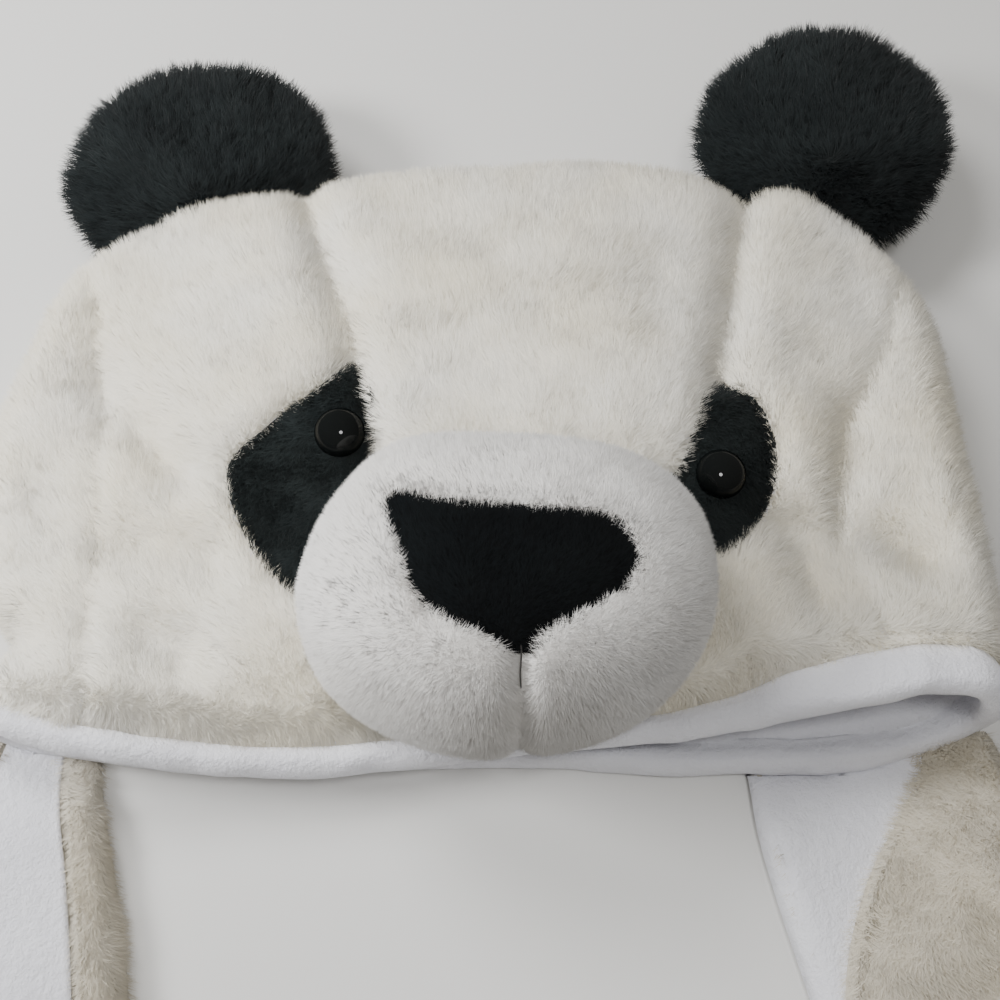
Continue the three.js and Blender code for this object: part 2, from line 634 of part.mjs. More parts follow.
// The muzzle's body, grown outward by a distance or shrunk by a negative one.
function muzzleBody(grow) {
  const [centreX, centreY] = MUZZLE_CENTRE;
  const reach = MUZZLE_REACH;
  const rings = MUZZLE_PROFILE.map((row, index) => {
    const before = MUZZLE_PROFILE[Math.max(index - 1, 0)];
    const after = MUZZLE_PROFILE[index + 1] ?? { share: 0, height: MUZZLE_TOP };
    const out = new THREE.Vector2(after.height - before.height, reach * (before.share - after.share));
    out.normalize();
    const tiltShare = THREE.MathUtils.smoothstep(row.height, MUZZLE_TILT_FROM, MUZZLE_TOP);
    return muzzleEdge.map(([edgeX, edgeY]) => {
      const away = new THREE.Vector2(edgeX - centreX, edgeY - centreY);
      const direction = away.clone().normalize();
      const length = away.length() * row.share;
      const plain = direction.clone().multiplyScalar(length);
      const push = grow - chinGroove(centreX + plain.x, centreY + plain.y);
      const place = plain.addScaledVector(direction, push * out.x);
      const tilt = (-MUZZLE_TILT * tiltShare * place.y) / reach;
      return [centreX + place.x, centreY + place.y, row.height + tilt + push * out.y];
    });
  });
  const [bottomRow] = MUZZLE_PROFILE;
  return ringBody([centreX, centreY, bottomRow.height], rings, [centreX, centreY, MUZZLE_TOP + grow]);
}

const noseOutline = smoothLine(NOSE_OUTLINE, true, CURVE_STEPS.nose);
const noseColumn = (side) => block(growOutline(noseOutline, (side * GAP) / 2), MUZZLE_TILT_FROM, CUT_TOP);
const noseRecess = noseColumn(1).subtract(muzzleBody(-NOSE_THICKNESS - GAP));
const noseBody = muzzleBody(NOSE_PROUD).subtract(muzzleBody(-NOSE_THICKNESS)).intersect(noseColumn(-1));

addPiece('muzzle', muzzleBody(0).subtract(crownClearance).subtract(noseRecess), WHITE_PLUSH);
addPiece('nose', noseBody, BLACK_PLUSH);

// The eyes, each a domed button seated in a round recess of its patch

// A body of revolution about the line that stands on the patch at the eye's place.
function turned(profile, place) {
  const points = profile.map(([radius, height]) => new THREE.Vector2(radius, height));
  const geometry = new THREE.LatheGeometry(points, EYE_SEGMENTS);
  geometry.rotateX(Math.PI / 2);
  geometry.applyMatrix4(place);
  return solidOf(geometry);
}

// Where an eye sits: on the patch, with its axis square to the cloth.
function eyePlace({ x, y }) {
  const middle = new THREE.Vector3(x, y, frontFaceHeight(x, y));
  const riseX = frontFaceHeight(x + EYE_RADIUS, y) - frontFaceHeight(x - EYE_RADIUS, y);
  const riseY = frontFaceHeight(x, y + EYE_RADIUS) - frontFaceHeight(x, y - EYE_RADIUS);
  const up = new THREE.Vector3(-riseX, -riseY, 2 * EYE_RADIUS).normalize();
  const turn = new THREE.Quaternion().setFromUnitVectors(new THREE.Vector3(0, 0, 1), up);
  return new THREE.Matrix4().compose(middle, turn, new THREE.Vector3(1, 1, 1));
}

function eyeProfile() {
  const profile = [[0, -EYE_SEAT], [EYE_RADIUS * EYE_FOOT_SHARE, -EYE_SEAT]];
  for (let i = 0; i < EYE_STEPS; i += 1) {
    const turn = (Math.PI / 2) * (i / EYE_STEPS);
    profile.push([EYE_RADIUS * Math.cos(turn), EYE_DOME * Math.sin(turn)]);
  }
  profile.push([0, EYE_DOME]);
  return profile;
}

const patches = { left: leftPatchOutline, right: rightPatchOutline };
for (const eye of EYES) {
  const place = eyePlace(eye);
  const seatRadius = EYE_RADIUS + GAP;
  const seat = turned([[0, -EYE_SEAT - GAP], [seatRadius, -EYE_SEAT - GAP],
    [seatRadius, EYE_SEAT_TOP], [0, EYE_SEAT_TOP]], place);
  const patch = frontWall.intersect(cutter(patches[eye.side], -1));
  addPiece(`eye_patch_${eye.side}`, patch.subtract(seat), BLACK_PLUSH);
  addPiece(`eye_${eye.side}`, turned(eyeProfile(), place), EYE_PLASTIC);
}

// The ears, flat pads whose roots are sewn into the shoulder seams

function earBody(ear) {
  const turn = THREE.MathUtils.degToRad(ear.turn);
  const thickness = (share) => EAR_HALF_THICKNESS * Math.sqrt(1 - share ** EAR_FULLNESS);
  const ring = (share, side) => {
    const points = [];
    for (let i = 0; i < EAR_SEGMENTS; i += 1) {
      const angle = (2 * Math.PI * i) / EAR_SEGMENTS;
      const wide = ear.wide * share * Math.cos(angle);
      const deep = ear.deep * share * Math.sin(angle);
      const middle = THREE.MathUtils.mapLinear(deep, -ear.deep, ear.deep, ear.rootZ, ear.tipZ);
      points.push([
        ear.x + wide * Math.cos(turn) - deep * Math.sin(turn),
        ear.y + wide * Math.sin(turn) + deep * Math.cos(turn),
        middle + side * thickness(share),
      ]);
    }
    return points;
  };
  const centreZ = (ear.rootZ + ear.tipZ) / 2;
  return ringBody(
    [ear.x, ear.y, centreZ - EAR_HALF_THICKNESS],
    [...EAR_SHARES.map((share) => ring(share, -1)), ring(1, 0),
      ...EAR_SHARES.toReversed().map((share) => ring(share, 1))],
    [ear.x, ear.y, centreZ + EAR_HALF_THICKNESS],
  );
}

for (const ear of EARS) {
  addPiece(`ear_${ear.side}`, earBody(ear).subtract(crownClearance), BLACK_PLUSH);
}

// The ear flaps, each a section carried from the back rim to the tip

function carried(sections) {
  const triangles = gridTriangles(sections.map((section) => [...section, section[0]]));
  const flat = (section) => section.map(([x, , z]) => new THREE.Vector2(x, z));
  const first = sections[0];
  const last = sections[sections.length - 1];
  for (const [a, b, c] of THREE.ShapeUtils.triangulateShape(flat(first), [])) {
    triangles.push([first[a], first[c], first[b]]);
  }
  for (const [a, b, c] of THREE.ShapeUtils.triangulateShape(flat(last), [])) {
    triangles.push([last[a], last[b], last[c]]);
  }
  return solidOfTriangles(triangles);
}

// A flap's solid, from the tables of its edges and of its section. Where the flap is too narrow for
// a full fold, the section's insets shrink. Its upper end is cut to the rim that it is sewn to.
function flapBody(rows, section) {
  const length = rows[rows.length - 1].down;
  const sections = [];
  for (let i = 0; i < FLAP_STATIONS; i += 1) {
    const down = length * Math.sin((Math.PI / 2) * (i / (FLAP_STATIONS - 1)));
    const [inner, cover, outer] = ['inner', 'cover', 'outer'].map((edge) => (
      readTable(rows, 'down', edge, down)));
    const fold = Math.min(1, Math.abs(outer - cover) / FULL_FOLD);
    const drawn = section.map((point) => [
      point.inner * inner + point.cover * cover + point.outer * outer + point.inset * fold,
      point.height,
    ]);
    const area = THREE.ShapeUtils.area(drawn.map(([x, z]) => ({ x, y: z })));
    const ordered = area > 0 ? drawn : drawn.toReversed();
    sections.push(ordered.map(([x, z]) => [x, FLAP_START_Y - down, z]));
  }
  return carried(sections).subtract(crownClearance).subtract(hemClearance);
}

addPiece('flap_left', flapBody(LEFT_FLAP, LEFT_FLAP_SECTION), WHITE_PLUSH);
addPiece('flap_lining_left', flapBody(LEFT_FLAP, LEFT_FLEECE_SECTION), WHITE_FLEECE);
addPiece('flap_right', flapBody(RIGHT_FLAP, RIGHT_FLAP_SECTION), WHITE_PLUSH);
addPiece('flap_lining_right', flapBody(RIGHT_FLAP, RIGHT_FLEECE_SECTION), WHITE_FLEECE);

// The origin: the middle of the hat's footprint, on the floor

const footprint = new THREE.Box3().setFromObject(hat).getCenter(new THREE.Vector3());
hat.position.set(-footprint.x, -footprint.y, 0);

export default hat;
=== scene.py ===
import math

import bmesh
import bpy
import numpy as np
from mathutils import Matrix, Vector
from mathutils.geometry import delaunay_2d_cdt


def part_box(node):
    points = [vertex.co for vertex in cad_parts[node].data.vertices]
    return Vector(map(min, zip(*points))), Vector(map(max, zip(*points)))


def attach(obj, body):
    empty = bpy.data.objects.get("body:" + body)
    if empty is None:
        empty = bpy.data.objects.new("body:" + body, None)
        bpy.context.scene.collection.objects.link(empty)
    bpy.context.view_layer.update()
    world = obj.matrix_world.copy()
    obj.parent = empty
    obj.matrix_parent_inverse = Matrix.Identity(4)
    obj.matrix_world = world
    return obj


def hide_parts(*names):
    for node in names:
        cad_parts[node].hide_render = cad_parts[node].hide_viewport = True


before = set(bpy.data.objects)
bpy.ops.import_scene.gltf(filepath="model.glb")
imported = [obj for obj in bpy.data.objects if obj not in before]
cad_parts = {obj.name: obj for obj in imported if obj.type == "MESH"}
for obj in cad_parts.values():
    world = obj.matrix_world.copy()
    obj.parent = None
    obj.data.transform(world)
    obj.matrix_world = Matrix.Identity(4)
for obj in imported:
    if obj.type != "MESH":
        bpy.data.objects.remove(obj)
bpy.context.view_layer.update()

# The camera looks down on the face from the chin's side, as in the photograph. The hat lies on a
# pale matt floor in a soft room, with two large lamps from the left and the top and a small one
# overhead, whose glint shows in the eyes.
# Forms are worked out in plan millimetres, from a middle point that the frame's eye gives.
EYES = {"left": (-46.3, 20.3), "right": (63.3, 8.3)}
TARGET_HEIGHT = 0.040
CAMERA_RISE = math.radians(65)
CAMERA_AWAY = 0.3421
FIELD_OF_VIEW = math.radians(45)

eye_low, eye_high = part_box("eye_left")
eye_middle = (np.array(eye_low) + np.array(eye_high)) / 2
SHIFT = np.append(eye_middle[:2] * 1000 - EYES["left"], 0)
TARGET = Vector((SHIFT[0] / 1000, SHIFT[1] / 1000, TARGET_HEIGHT))


def put_in_scene(name, data):
    """A new object with that data, linked into the scene."""
    thing = bpy.data.objects.new(name, data)
    bpy.context.scene.collection.objects.link(thing)
    return thing


def turned_to(place, aim):
    """The turn that points a camera or a lamp from its place to its aim."""
    return (Vector(aim) - Vector(place)).to_track_quat("-Z", "Y").to_euler()


camera_data = bpy.data.cameras.new("camera")
camera_data.angle = FIELD_OF_VIEW
camera_data.clip_start = 0.01
camera = put_in_scene("camera", camera_data)
camera.location = TARGET + CAMERA_AWAY * Vector((0, -math.cos(CAMERA_RISE), math.sin(CAMERA_RISE)))
camera.rotation_euler = turned_to(camera.location, TARGET)
bpy.context.scene.camera = camera


def soft_light(name, place, aim, size, power, colour, glints):
    """A round lamp of a given diameter at a place, turned to its aim, that may glint in the eyes."""
    data = bpy.data.lights.new(name, "AREA")
    data.shape = "DISK"
    data.size = size
    data.energy = power
    data.color = colour
    lamp = put_in_scene(name, data)
    lamp.location = place
    lamp.rotation_euler = turned_to(place, aim)
    lamp.visible_camera = False
    lamp.visible_glossy = glints


soft_light("left_light", (-0.7, 0.02, 0.5), (0, 0, 0), 0.3, 6.9, (1.0, 1.0, 0.99), False)
soft_light("top_light", (-0.42, 0.4, 0.7), (0, 0.05, 0), 0.4, 5.0, (1.0, 1.0, 1.0), False)
soft_light("small_light", (0.1, -0.2, 0.9), (0, 0, 0.04), 0.18, 2.4, (1.0, 1.0, 1.0), True)


def feed(tree, node, inputs):
    """Fills a node's inputs: a socket is linked to its input, and any other value is written in."""
    for label, value in inputs.items():
        if isinstance(value, bpy.types.NodeSocket):
            tree.links.new(value, node.inputs[label])
        else:
            node.inputs[label].default_value = value


def new_look(name):
    """An empty material, with its node tree and its shader."""
    look = bpy.data.materials.new(name)
    look.use_nodes = True
    return look, look.node_tree, look.node_tree.nodes["Principled BSDF"]


world = bpy.data.worlds.new("room")
world.use_nodes = True
feed(world.node_tree, world.node_tree.nodes["Background"], {
    "Color": (0.92, 0.89, 0.83, 1), "Strength": 0.3})
bpy.context.scene.world = world

floor_mesh = bpy.data.meshes.new("floor")
floor_mesh.from_pydata([(-3, -3, 0), (3, -3, 0), (3, 3, 0), (-3, 3, 0)], [], [(0, 1, 2, 3)])
floor = put_in_scene("floor", floor_mesh)
floor_look, floor_tree, floor_shader = new_look("pale_floor")
feed(floor_tree, floor_shader, {"Base Color": (0.76, 0.755, 0.74, 1), "Roughness": 0.45})
floor.data.materials.append(floor_look)

# The back of the crown: white plush, cut as one piece with the strips that come round the side
# folds to the front. It is knitted backing with a soft pile, and it rests flat on the floor.
# The crown's form is worked out in millimetres on the plan, from the rim (along 0) to the top
# seam (along 1) and from the left fold (across -1) to the right one (across 1).
PILE_DEPTH = 3.2
BACKING = 1.6
FOLD_RADIUS = 16
FOLD_HEIGHT = 15
FLAT_FOLD_SHARE = 0.45
FOLD_SPAN = 145
GAP = 0.3
WHOLE_WALL = 7.3
SIDE_SEAM_SINK = 1.2
HEM_TURN_REACH = 9
HEM_TURN_FLATTER = 0.35

ALONG = [0.0, 0.08, 0.15, 0.27, 0.42, 0.65, 0.85, 1.0]
LEFT_FOLD = [-150, -148, -139, -152, -157, -155, -148, -142]
RIGHT_FOLD = [141, 143, 144, 145, 144, 142, 141, 138]
HEIGHT_PLACES = [-0.8, -0.4, 0, 0.4, 0.8]
FRONT_HEIGHTS = [
    [26, 30, 32, 33, 34, 35, 33, 28],
    [20, 25, 31, 37, 42, 45, 41, 32],
    [20, 25, 31, 40, 46, 48, 43, 34],
    [27, 31, 35, 39, 43, 45, 41, 32],
    [42, 42, 38, 34, 34, 35, 33, 28],
]
ACROSS = [-1.0, -0.83, -0.66, -0.46, -0.3, 0.05, 0.35, 0.6, 0.72, 0.85, 1.0]
RIM = {
    "front": [-60, -67, -71, -73, -73, -68, -65, -60, -58, -55, -58],
    "back": [-60, -65, -68, -70, -70, -68, -70, -70, -69, -65, -58],
}
TOP_EDGE = [88, 108, 120, 124, 128, 133, 133, 124, 125, 109, 84]
HEM_WIDTH = {
    "front": [9, 8, 8, 8, 8, 8, 8, 13, 15, 13, 12],
    "back": [9, 10, 10, 10, 10, 10, 10, 10, 10, 10, 12],
}
# Creases and seam valleys in the front: from x, y to x, y, half width and depth.
CREASES = [
    (-67, 124, -44, 48, 7, 3.2), (82, 124, 65, 42, 7, 3.2), (-36, 13, 44, 7, 9, 3),
    (-121, 42, -92, 10, 8, 3), (-108, -10, -84, -14, 8, 3), (-96, -38, -88, -40, 9, 3),
    (84, -6, 92, -26, 10, 5), (112, -8, 122, -14, 9, 5), (104, 30, 99, -6, 7, 3),
]
CREASE_SHARE = 1.8
CLOTH_WAVE = 0.9
LEFT_SIDE_SEAM = [(-116, -90), (-116, -62), (-117, -15), (-120, 24), (-126, 63), (-134, 88)]
RIGHT_SIDE_SEAM = [
    (130, 83), (117, 50), (101, 19), (100, -8), (105, -30), (108, -48), (109, -90),
]
TOP_SEAM_BACK = 4
LATTICE = 24
WELD_DISTANCE = 2e-5


def smooth_read(places, values, at):
    """The table's value at each place: cubic pieces between the rows, whose slope at a row is that
    of the line between the rows beside it. Past the ends the last value holds."""
    places, at = np.asarray(places, float), np.asarray(at, float)
    values = np.broadcast_to(np.asarray(values, float), at.shape + places.shape)
    row = (at[..., None] > places[1:-1]).sum(-1)
    slopes = np.empty(values.shape)
    slopes[..., 1:-1] = (values[..., 2:] - values[..., :-2]) / (places[2:] - places[:-2])
    slopes[..., 0] = (values[..., 1] - values[..., 0]) / (places[1] - places[0])
    slopes[..., -1] = (values[..., -1] - values[..., -2]) / (places[-1] - places[-2])

    def pick(table, index):
        return np.take_along_axis(table, index[..., None], -1)[..., 0]

    span = places[row + 1] - places[row]
    t = np.clip((at - places[row]) / span, 0, 1)
    start, rise = pick(values, row), pick(values, row + 1) - pick(values, row)
    bend = (2 * t - 1) * rise + span * ((1 - t) * pick(slopes, row) - t * pick(slopes, row + 1))
    return start + t * rise + t * (1 - t) * bend


def smooth_line(places, steps, closed=False):
    """Points on a centripetal Catmull-Rom curve: between two places it is the cubic whose end
    tangents weigh each neighbouring chord by the square root of its length."""
    p = np.asarray(places, float)
    if closed:
        ring = np.vstack([p[-1], p, p[:2]])
    else:
        ring = np.vstack([2 * p[0] - p[1], p, 2 * p[-1] - p[-2]])
    a, b, c, d = ring[:-3], ring[1:-2], ring[2:-1], ring[3:]
    gap = [np.sqrt(np.linalg.norm(n - m, axis=1))[:, None] for m, n in ((a, b), (b, c), (c, d))]
    leave = (b - a) / gap[0] - (c - a) / (gap[0] + gap[1]) + (c - b) / gap[1]
    arrive = (c - b) / gap[1] - (d - b) / (gap[1] + gap[2]) + (d - c) / gap[2]
    leave, arrive = leave * gap[1], arrive * gap[1]
    t = np.arange(steps)[None, :, None] / steps
    b, c, leave, arrive = b[:, None], c[:, None], leave[:, None], arrive[:, None]
    line = (b + leave * t + (3 * (c - b) - 2 * leave - arrive) * t ** 2
            + (2 * (b - c) + leave + arrive) * t ** 3).reshape(-1, 2)
    return line if closed else np.vstack([line, p[-1]])


def soft_noise(points, size, seed):
    """Smooth noise from -1 to 1: random values on a lattice, blended by smoothstep weights."""
    table = np.random.default_rng(seed).uniform(-1, 1, (LATTICE, LATTICE, LATTICE))
    cell = np.floor(points / size).astype(int)
    share = points / size - cell
    share = share * share * (3 - 2 * share)
    total = 0
    for corner in np.ndindex(2, 2, 2):
        weight = np.prod(np.where(corner, share, 1 - share), -1)
        at = (cell + corner) % LATTICE
        total = total + weight * table[at[..., 0], at[..., 1], at[..., 2]]
    return total


def crease_depth(x, y):
    """The sum of bell curves of the distance from each crease's line, on a faint wave of the cloth."""
    places = np.stack([x, y, 0 * x], -1)
    depth = CLOTH_WAVE * (soft_noise(places, 26, 3) + 0.4 * soft_noise(places, 11, 4))
    for from_x, from_y, to_x, to_y, half, deep in CREASES:
        run_x, run_y = to_x - from_x, to_y - from_y
        share = ((x - from_x) * run_x + (y - from_y) * run_y) / (run_x ** 2 + run_y ** 2)
        share = np.clip(share, 0, 1)
        away = np.hypot(x - from_x - share * run_x, y - from_y - share * run_y) / half
        depth = depth + CREASE_SHARE * deep * np.exp(-away ** 2)
    return depth


def front_height(across, along):
    """The front wall's height: each column of heights read along, then read across."""
    rows = np.stack([smooth_read(ALONG, column, along) for column in FRONT_HEIGHTS], -1)
    return smooth_read(HEIGHT_PLACES, rows, across)


def fold_rise(away, radius):
    """How far a fold has risen at a distance from its edge: a quarter circle, then level."""
    return np.sqrt(np.clip(1 - np.clip(1 - away / radius, 0, None) ** 2, 0, 1))


def wall_height(sheet, x, y, across, along, rise, depth):
    """A wall's height from the fold's, which is lower where the crown is flat, to its full height
    or to the floor, by how far the folds round it have risen."""
    high = front_height(across, along)
    fold = np.minimum(FOLD_HEIGHT, FLAT_FOLD_SHARE * high)
    if sheet == "back":
        return fold - (fold - depth) * rise
    return fold + (high - crease_depth(x, y) - depth - fold) * rise


def crown_sheet(sheet, columns, rows, depth, start):
    """The crown's front or back wall. A column is (flat, lean): flat is its share of the width
    between the side folds, and lean leads round a fold by the cosine of its turn. A row is the
    same from the start line to the top fold. Depth is measured inwards from the pile's tips."""
    radius = FOLD_RADIUS - depth
    (flat, lean), (flat_up, lean_up) = columns, rows
    fold_share = FOLD_RADIUS / (2 * FOLD_SPAN)
    rough = 2 * (fold_share + flat * (1 - 2 * fold_share) + fold_share * lean) - 1
    top = smooth_read(ACROSS, TOP_EDGE, rough) - depth
    start_y = smooth_read(ACROSS, RIM[sheet], rough) + start(sheet, rough)
    y = start_y + (top - radius - start_y) * flat_up + radius * lean_up
    rim_y = smooth_read(ACROSS, RIM["front"], rough)
    along = np.clip((y - rim_y) / (top + depth - rim_y), 0, None)
    left = smooth_read(ALONG, LEFT_FOLD, along) + depth
    right = smooth_read(ALONG, RIGHT_FOLD, along) - depth
    x = left + radius + (right - left - 2 * radius) * flat + radius * lean
    across = np.clip((2 * x - left - right) / (right - left + 2 * depth), -1, 1)
    rise = fold_rise(np.minimum(x - left, right - x), radius) * fold_rise(top - y, radius)
    z = wall_height(sheet, x, y, across, along, rise, depth)
    return np.stack(np.broadcast_arrays(x, y, z), -1)


def crown_steps(flat_count, arc_count, both_ends):
    """Grid steps for crown_sheet: even steps on the flat and even turns round the folds."""
    turn = np.arange(arc_count) / arc_count * math.pi / 2
    flat, lean = np.linspace(0, 1, flat_count + 1), np.zeros(flat_count + 1)
    flat, lean = np.append(flat, np.ones(arc_count)), np.append(lean, np.cos(turn[::-1]))
    if both_ends:
        flat = np.append(np.zeros(arc_count), flat)
        lean = np.append(-np.cos(turn), lean)
    return flat, lean


def past_hem(sheet, across):
    """The distance from the rim to the hem's seam."""
    return smooth_read(ACROSS, HEM_WIDTH[sheet], across) + GAP


def front_face(x, y, depth):
    """The front wall's height at places in plan, folds included. Across and along are found by
    reading the folds at a first guess of along three times over."""
    across = x / FOLD_SPAN
    for _ in range(3):
        rim_y = smooth_read(ACROSS, RIM["front"], across)
        top = smooth_read(ACROSS, TOP_EDGE, across)
        along = (y - rim_y) / (top - rim_y)
        left, right = smooth_read(ALONG, LEFT_FOLD, along), smooth_read(ALONG, RIGHT_FOLD, along)
        across = np.clip((2 * x - left - right) / (right - left), -1, 1)
    radius = FOLD_RADIUS - depth
    side = np.minimum(x - left, right - x) - depth
    rise = fold_rise(side, radius) * fold_rise(top - depth - y, radius)
    return wall_height("front", x, y, across, along, rise, depth)


def inside(outline, x, y):
    """True where a line to the right of the place crosses the outline an odd number of times."""
    x, y = np.asarray(x)[..., None], np.asarray(y)[..., None]
    ax, ay = np.asarray(outline).T
    bx, by = np.roll(ax, -1), np.roll(ay, -1)
    crosses = (ay > y) != (by > y)
    at = ax + (y - ay) * (bx - ax) / np.where(by == ay, 1e-9, by - ay)
    return ((x < at) & crosses).sum(-1) % 2 == 1


def nearest_on(starts, ends, x, y):
    """The nearest place on any of the segments, and its distance."""
    run = ends - starts
    from_start = np.stack([x, y], -1)[:, None] - starts
    share = np.clip((from_start * run).sum(-1) / np.maximum((run ** 2).sum(-1), 1e-9), 0, 1)
    place = starts + share[..., None] * run
    away = np.hypot(place[..., 0] - x[:, None], place[..., 1] - y[:, None])
    best = away.argmin(1)
    rows = np.arange(len(x))
    return place[rows, best], away[rows, best]


def hem_line(sheet, across):
    """The hem's seam in plan on that sheet."""
    left, right = LEFT_FOLD[0], RIGHT_FOLD[0]
    x = left + (across + 1) / 2 * (right - left)
    return np.stack([x, smooth_read(ACROSS, RIM[sheet], across) + past_hem(sheet, across)], -1)


def front_outline():
    """The seam round the front: up the left side, along the top just behind its edge, down the
    right side and back along the hem."""
    across = np.linspace(-0.88, 0.88, 60)
    top_x = LEFT_FOLD[-1] + (across + 1) / 2 * (RIGHT_FOLD[-1] - LEFT_FOLD[-1])
    top = np.stack([top_x, smooth_read(ACROSS, TOP_EDGE, across) - TOP_SEAM_BACK], -1)
    sides = []
    hem = hem_line("front", np.linspace(1, -1, 160))
    for seam in (LEFT_SIDE_SEAM, RIGHT_SIDE_SEAM):
        line = smooth_line(seam, 10)
        hem_y = np.interp(line[:, 0], hem[::-1, 0], hem[::-1, 1])
        sides.append(line[line[:, 1] > hem_y + 0.5])
    low_left, low_right = sides[0][0, 0], sides[1][-1, 0]
    hem = hem[(hem[:, 0] > low_left - 0.2) & (hem[:, 0] < low_right + 0.2)]
    return np.vstack([sides[0], top, sides[1], hem])


FRONT_OUTLINE = front_outline()


def grid_faces(grid, first=0, flipped=False):
    """Four-cornered faces between neighbouring rows and columns of a grid of points."""
    rows, columns = grid.shape[:2]
    number = first + np.arange(rows * columns).reshape(rows, columns)
    corners = [number[:-1, :-1], number[:-1, 1:], number[1:, 1:], number[1:, :-1]]
    if flipped:
        corners = corners[::-1]
    return np.stack(corners, -1).reshape(-1, 4)


def make_mesh(name, points, faces, material):
    """An object at the origin from points in plan millimetres and an array of faces."""
    mesh = bpy.data.meshes.new(name)
    places = (np.asarray(points).reshape(-1, 3) + SHIFT) / 1000
    size = faces.shape[1]
    mesh.vertices.add(len(places))
    mesh.vertices.foreach_set("co", places.ravel())
    mesh.loops.add(faces.size)
    mesh.loops.foreach_set("vertex_index", faces.ravel().astype(np.int32))
    mesh.polygons.add(len(faces))
    mesh.polygons.foreach_set("loop_start", np.arange(0, faces.size, size, dtype=np.int32))
    mesh.update(calc_edges=True)
    mesh.validate()
    mesh.polygons.foreach_set("use_smooth", np.ones(len(mesh.polygons), bool))
    mesh.materials.append(material)
    return put_in_scene(name, mesh)


def weld(piece):
    """Joins points that lie together, so that seams and poles are closed."""
    work = bmesh.new()
    work.from_mesh(piece.data)
    bmesh.ops.remove_doubles(work, verts=work.verts, dist=WELD_DISTANCE)
    bmesh.ops.dissolve_degenerate(work, edges=work.edges, dist=WELD_DISTANCE / 10)
    work.to_mesh(piece.data)
    work.free()


def thicken(piece, wall):
    """Gives a sheet its wall, inwards, and closes its edges."""
    solid = piece.modifiers.new("wall", "SOLIDIFY")
    solid.thickness = wall / 1000
    solid.offset = -1
    solid.use_even_offset = False


def finish_piece(piece, slot, *nodes):
    """Fixes a piece to the hat's one body and hides the solids that it stands for. Its finish, the slot,
    is not used.
    """
    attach(piece, "root")
    if nodes:
        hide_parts(*nodes)
    return piece


def skin_piece(name, points, faces, material, slot, *nodes, wall=0, welded=True):
    """A finished piece from points and faces, closed where points meet and given its wall."""
    piece = make_mesh(name, points, faces, material)
    if welded:
        weld(piece)
    if wall:
        thicken(piece, wall)
    return finish_piece(piece, slot, *nodes)


def unit(vectors):
    """Each vector divided by its length."""
    return vectors / np.maximum(np.linalg.norm(vectors, axis=-1, keepdims=True), 1e-9)


def tuft_pull(points, size, seed):
    """The way from each place to the middle of its tuft: the nearest of the random middles that
    stand one to a lattice cell."""
    table = np.random.default_rng(seed).uniform(0, 1, (LATTICE, LATTICE, LATTICE, 3))
    cell = np.floor(points / size).astype(int)
    way, best = np.zeros(points.shape), np.full(len(points), np.inf)
    for step in np.ndindex(3, 3, 3):
        near = cell + step - 1
        at = near % LATTICE
        to = (near + table[at[:, 0], at[:, 1], at[:, 2]]) * size - points
        away = (to ** 2).sum(-1)
        closer = away < best
        way[closer], best[closer] = to[closer], away[closer]
    return way


def scatter(points, faces, density, chance):
    """Random roots on a surface, with its smooth normals there. A triangle is chosen by its area,
    and a place in it by two random shares of its sides, mirrored where they pass its far side."""
    corners = faces
    if faces.shape[1] == 4:
        corners = np.vstack([faces[:, [0, 1, 2]], faces[:, [0, 2, 3]]])
    a, b, c = (points[corners[:, i]] for i in range(3))
    cross = np.cross(b - a, c - a)
    normals = np.zeros(points.shape)
    for i in range(3):
        np.add.at(normals, corners[:, i], cross)
    normals = unit(normals)
    area = np.linalg.norm(cross, axis=1) / 2
    count = int(density * area.sum())
    chosen = chance.choice(len(corners), count, p=area / area.sum())
    u, v = chance.random((2, count))
    over = u + v > 1
    u, v = np.where(over, 1 - u, u), np.where(over, 1 - v, v)
    shares = np.stack([1 - u - v, u, v], -1)[..., None]
    root = (points[corners[chosen]] * shares).sum(1)
    return root, unit((normals[corners[chosen]] * shares).sum(1))


def mark_points(piece, **marks):
    """Writes values at a piece's points, for its material to read."""
    for label, values in marks.items():
        piece.data.attributes.new(label, "FLOAT", "POINT").data.foreach_set("value", values)


# How strands differ: the sizes of the noise that swirls them, the size and strength of the noise
# that tips and lengthens them, and the random spread of each turn. How they are set and shaded: how
# deep the root sits, the least height, and the ways that their broad side and their shading take.
SWIRL_SIZES = (14, 5)
TIP_WAVE = (9, 0.35)
LENGTH_WAVE = (4, 0.12)
LENGTH_SPREAD = (0.7, 1.1)
TURN_SPREAD, TIP_SPREAD, ROLL_SPREAD, SHADE_SPREAD = 0.45, 0.2, 0.35, 0.16
ROOT_SUNK = 0.3
STRAND_LOWEST = 0.15
FACE_SHARE, FACE_UP = 0.6, np.array([0, -0.3, 0.75])
SHADE_LEAN, SHADE_UP = 0.15, np.array([0, 0, 1])


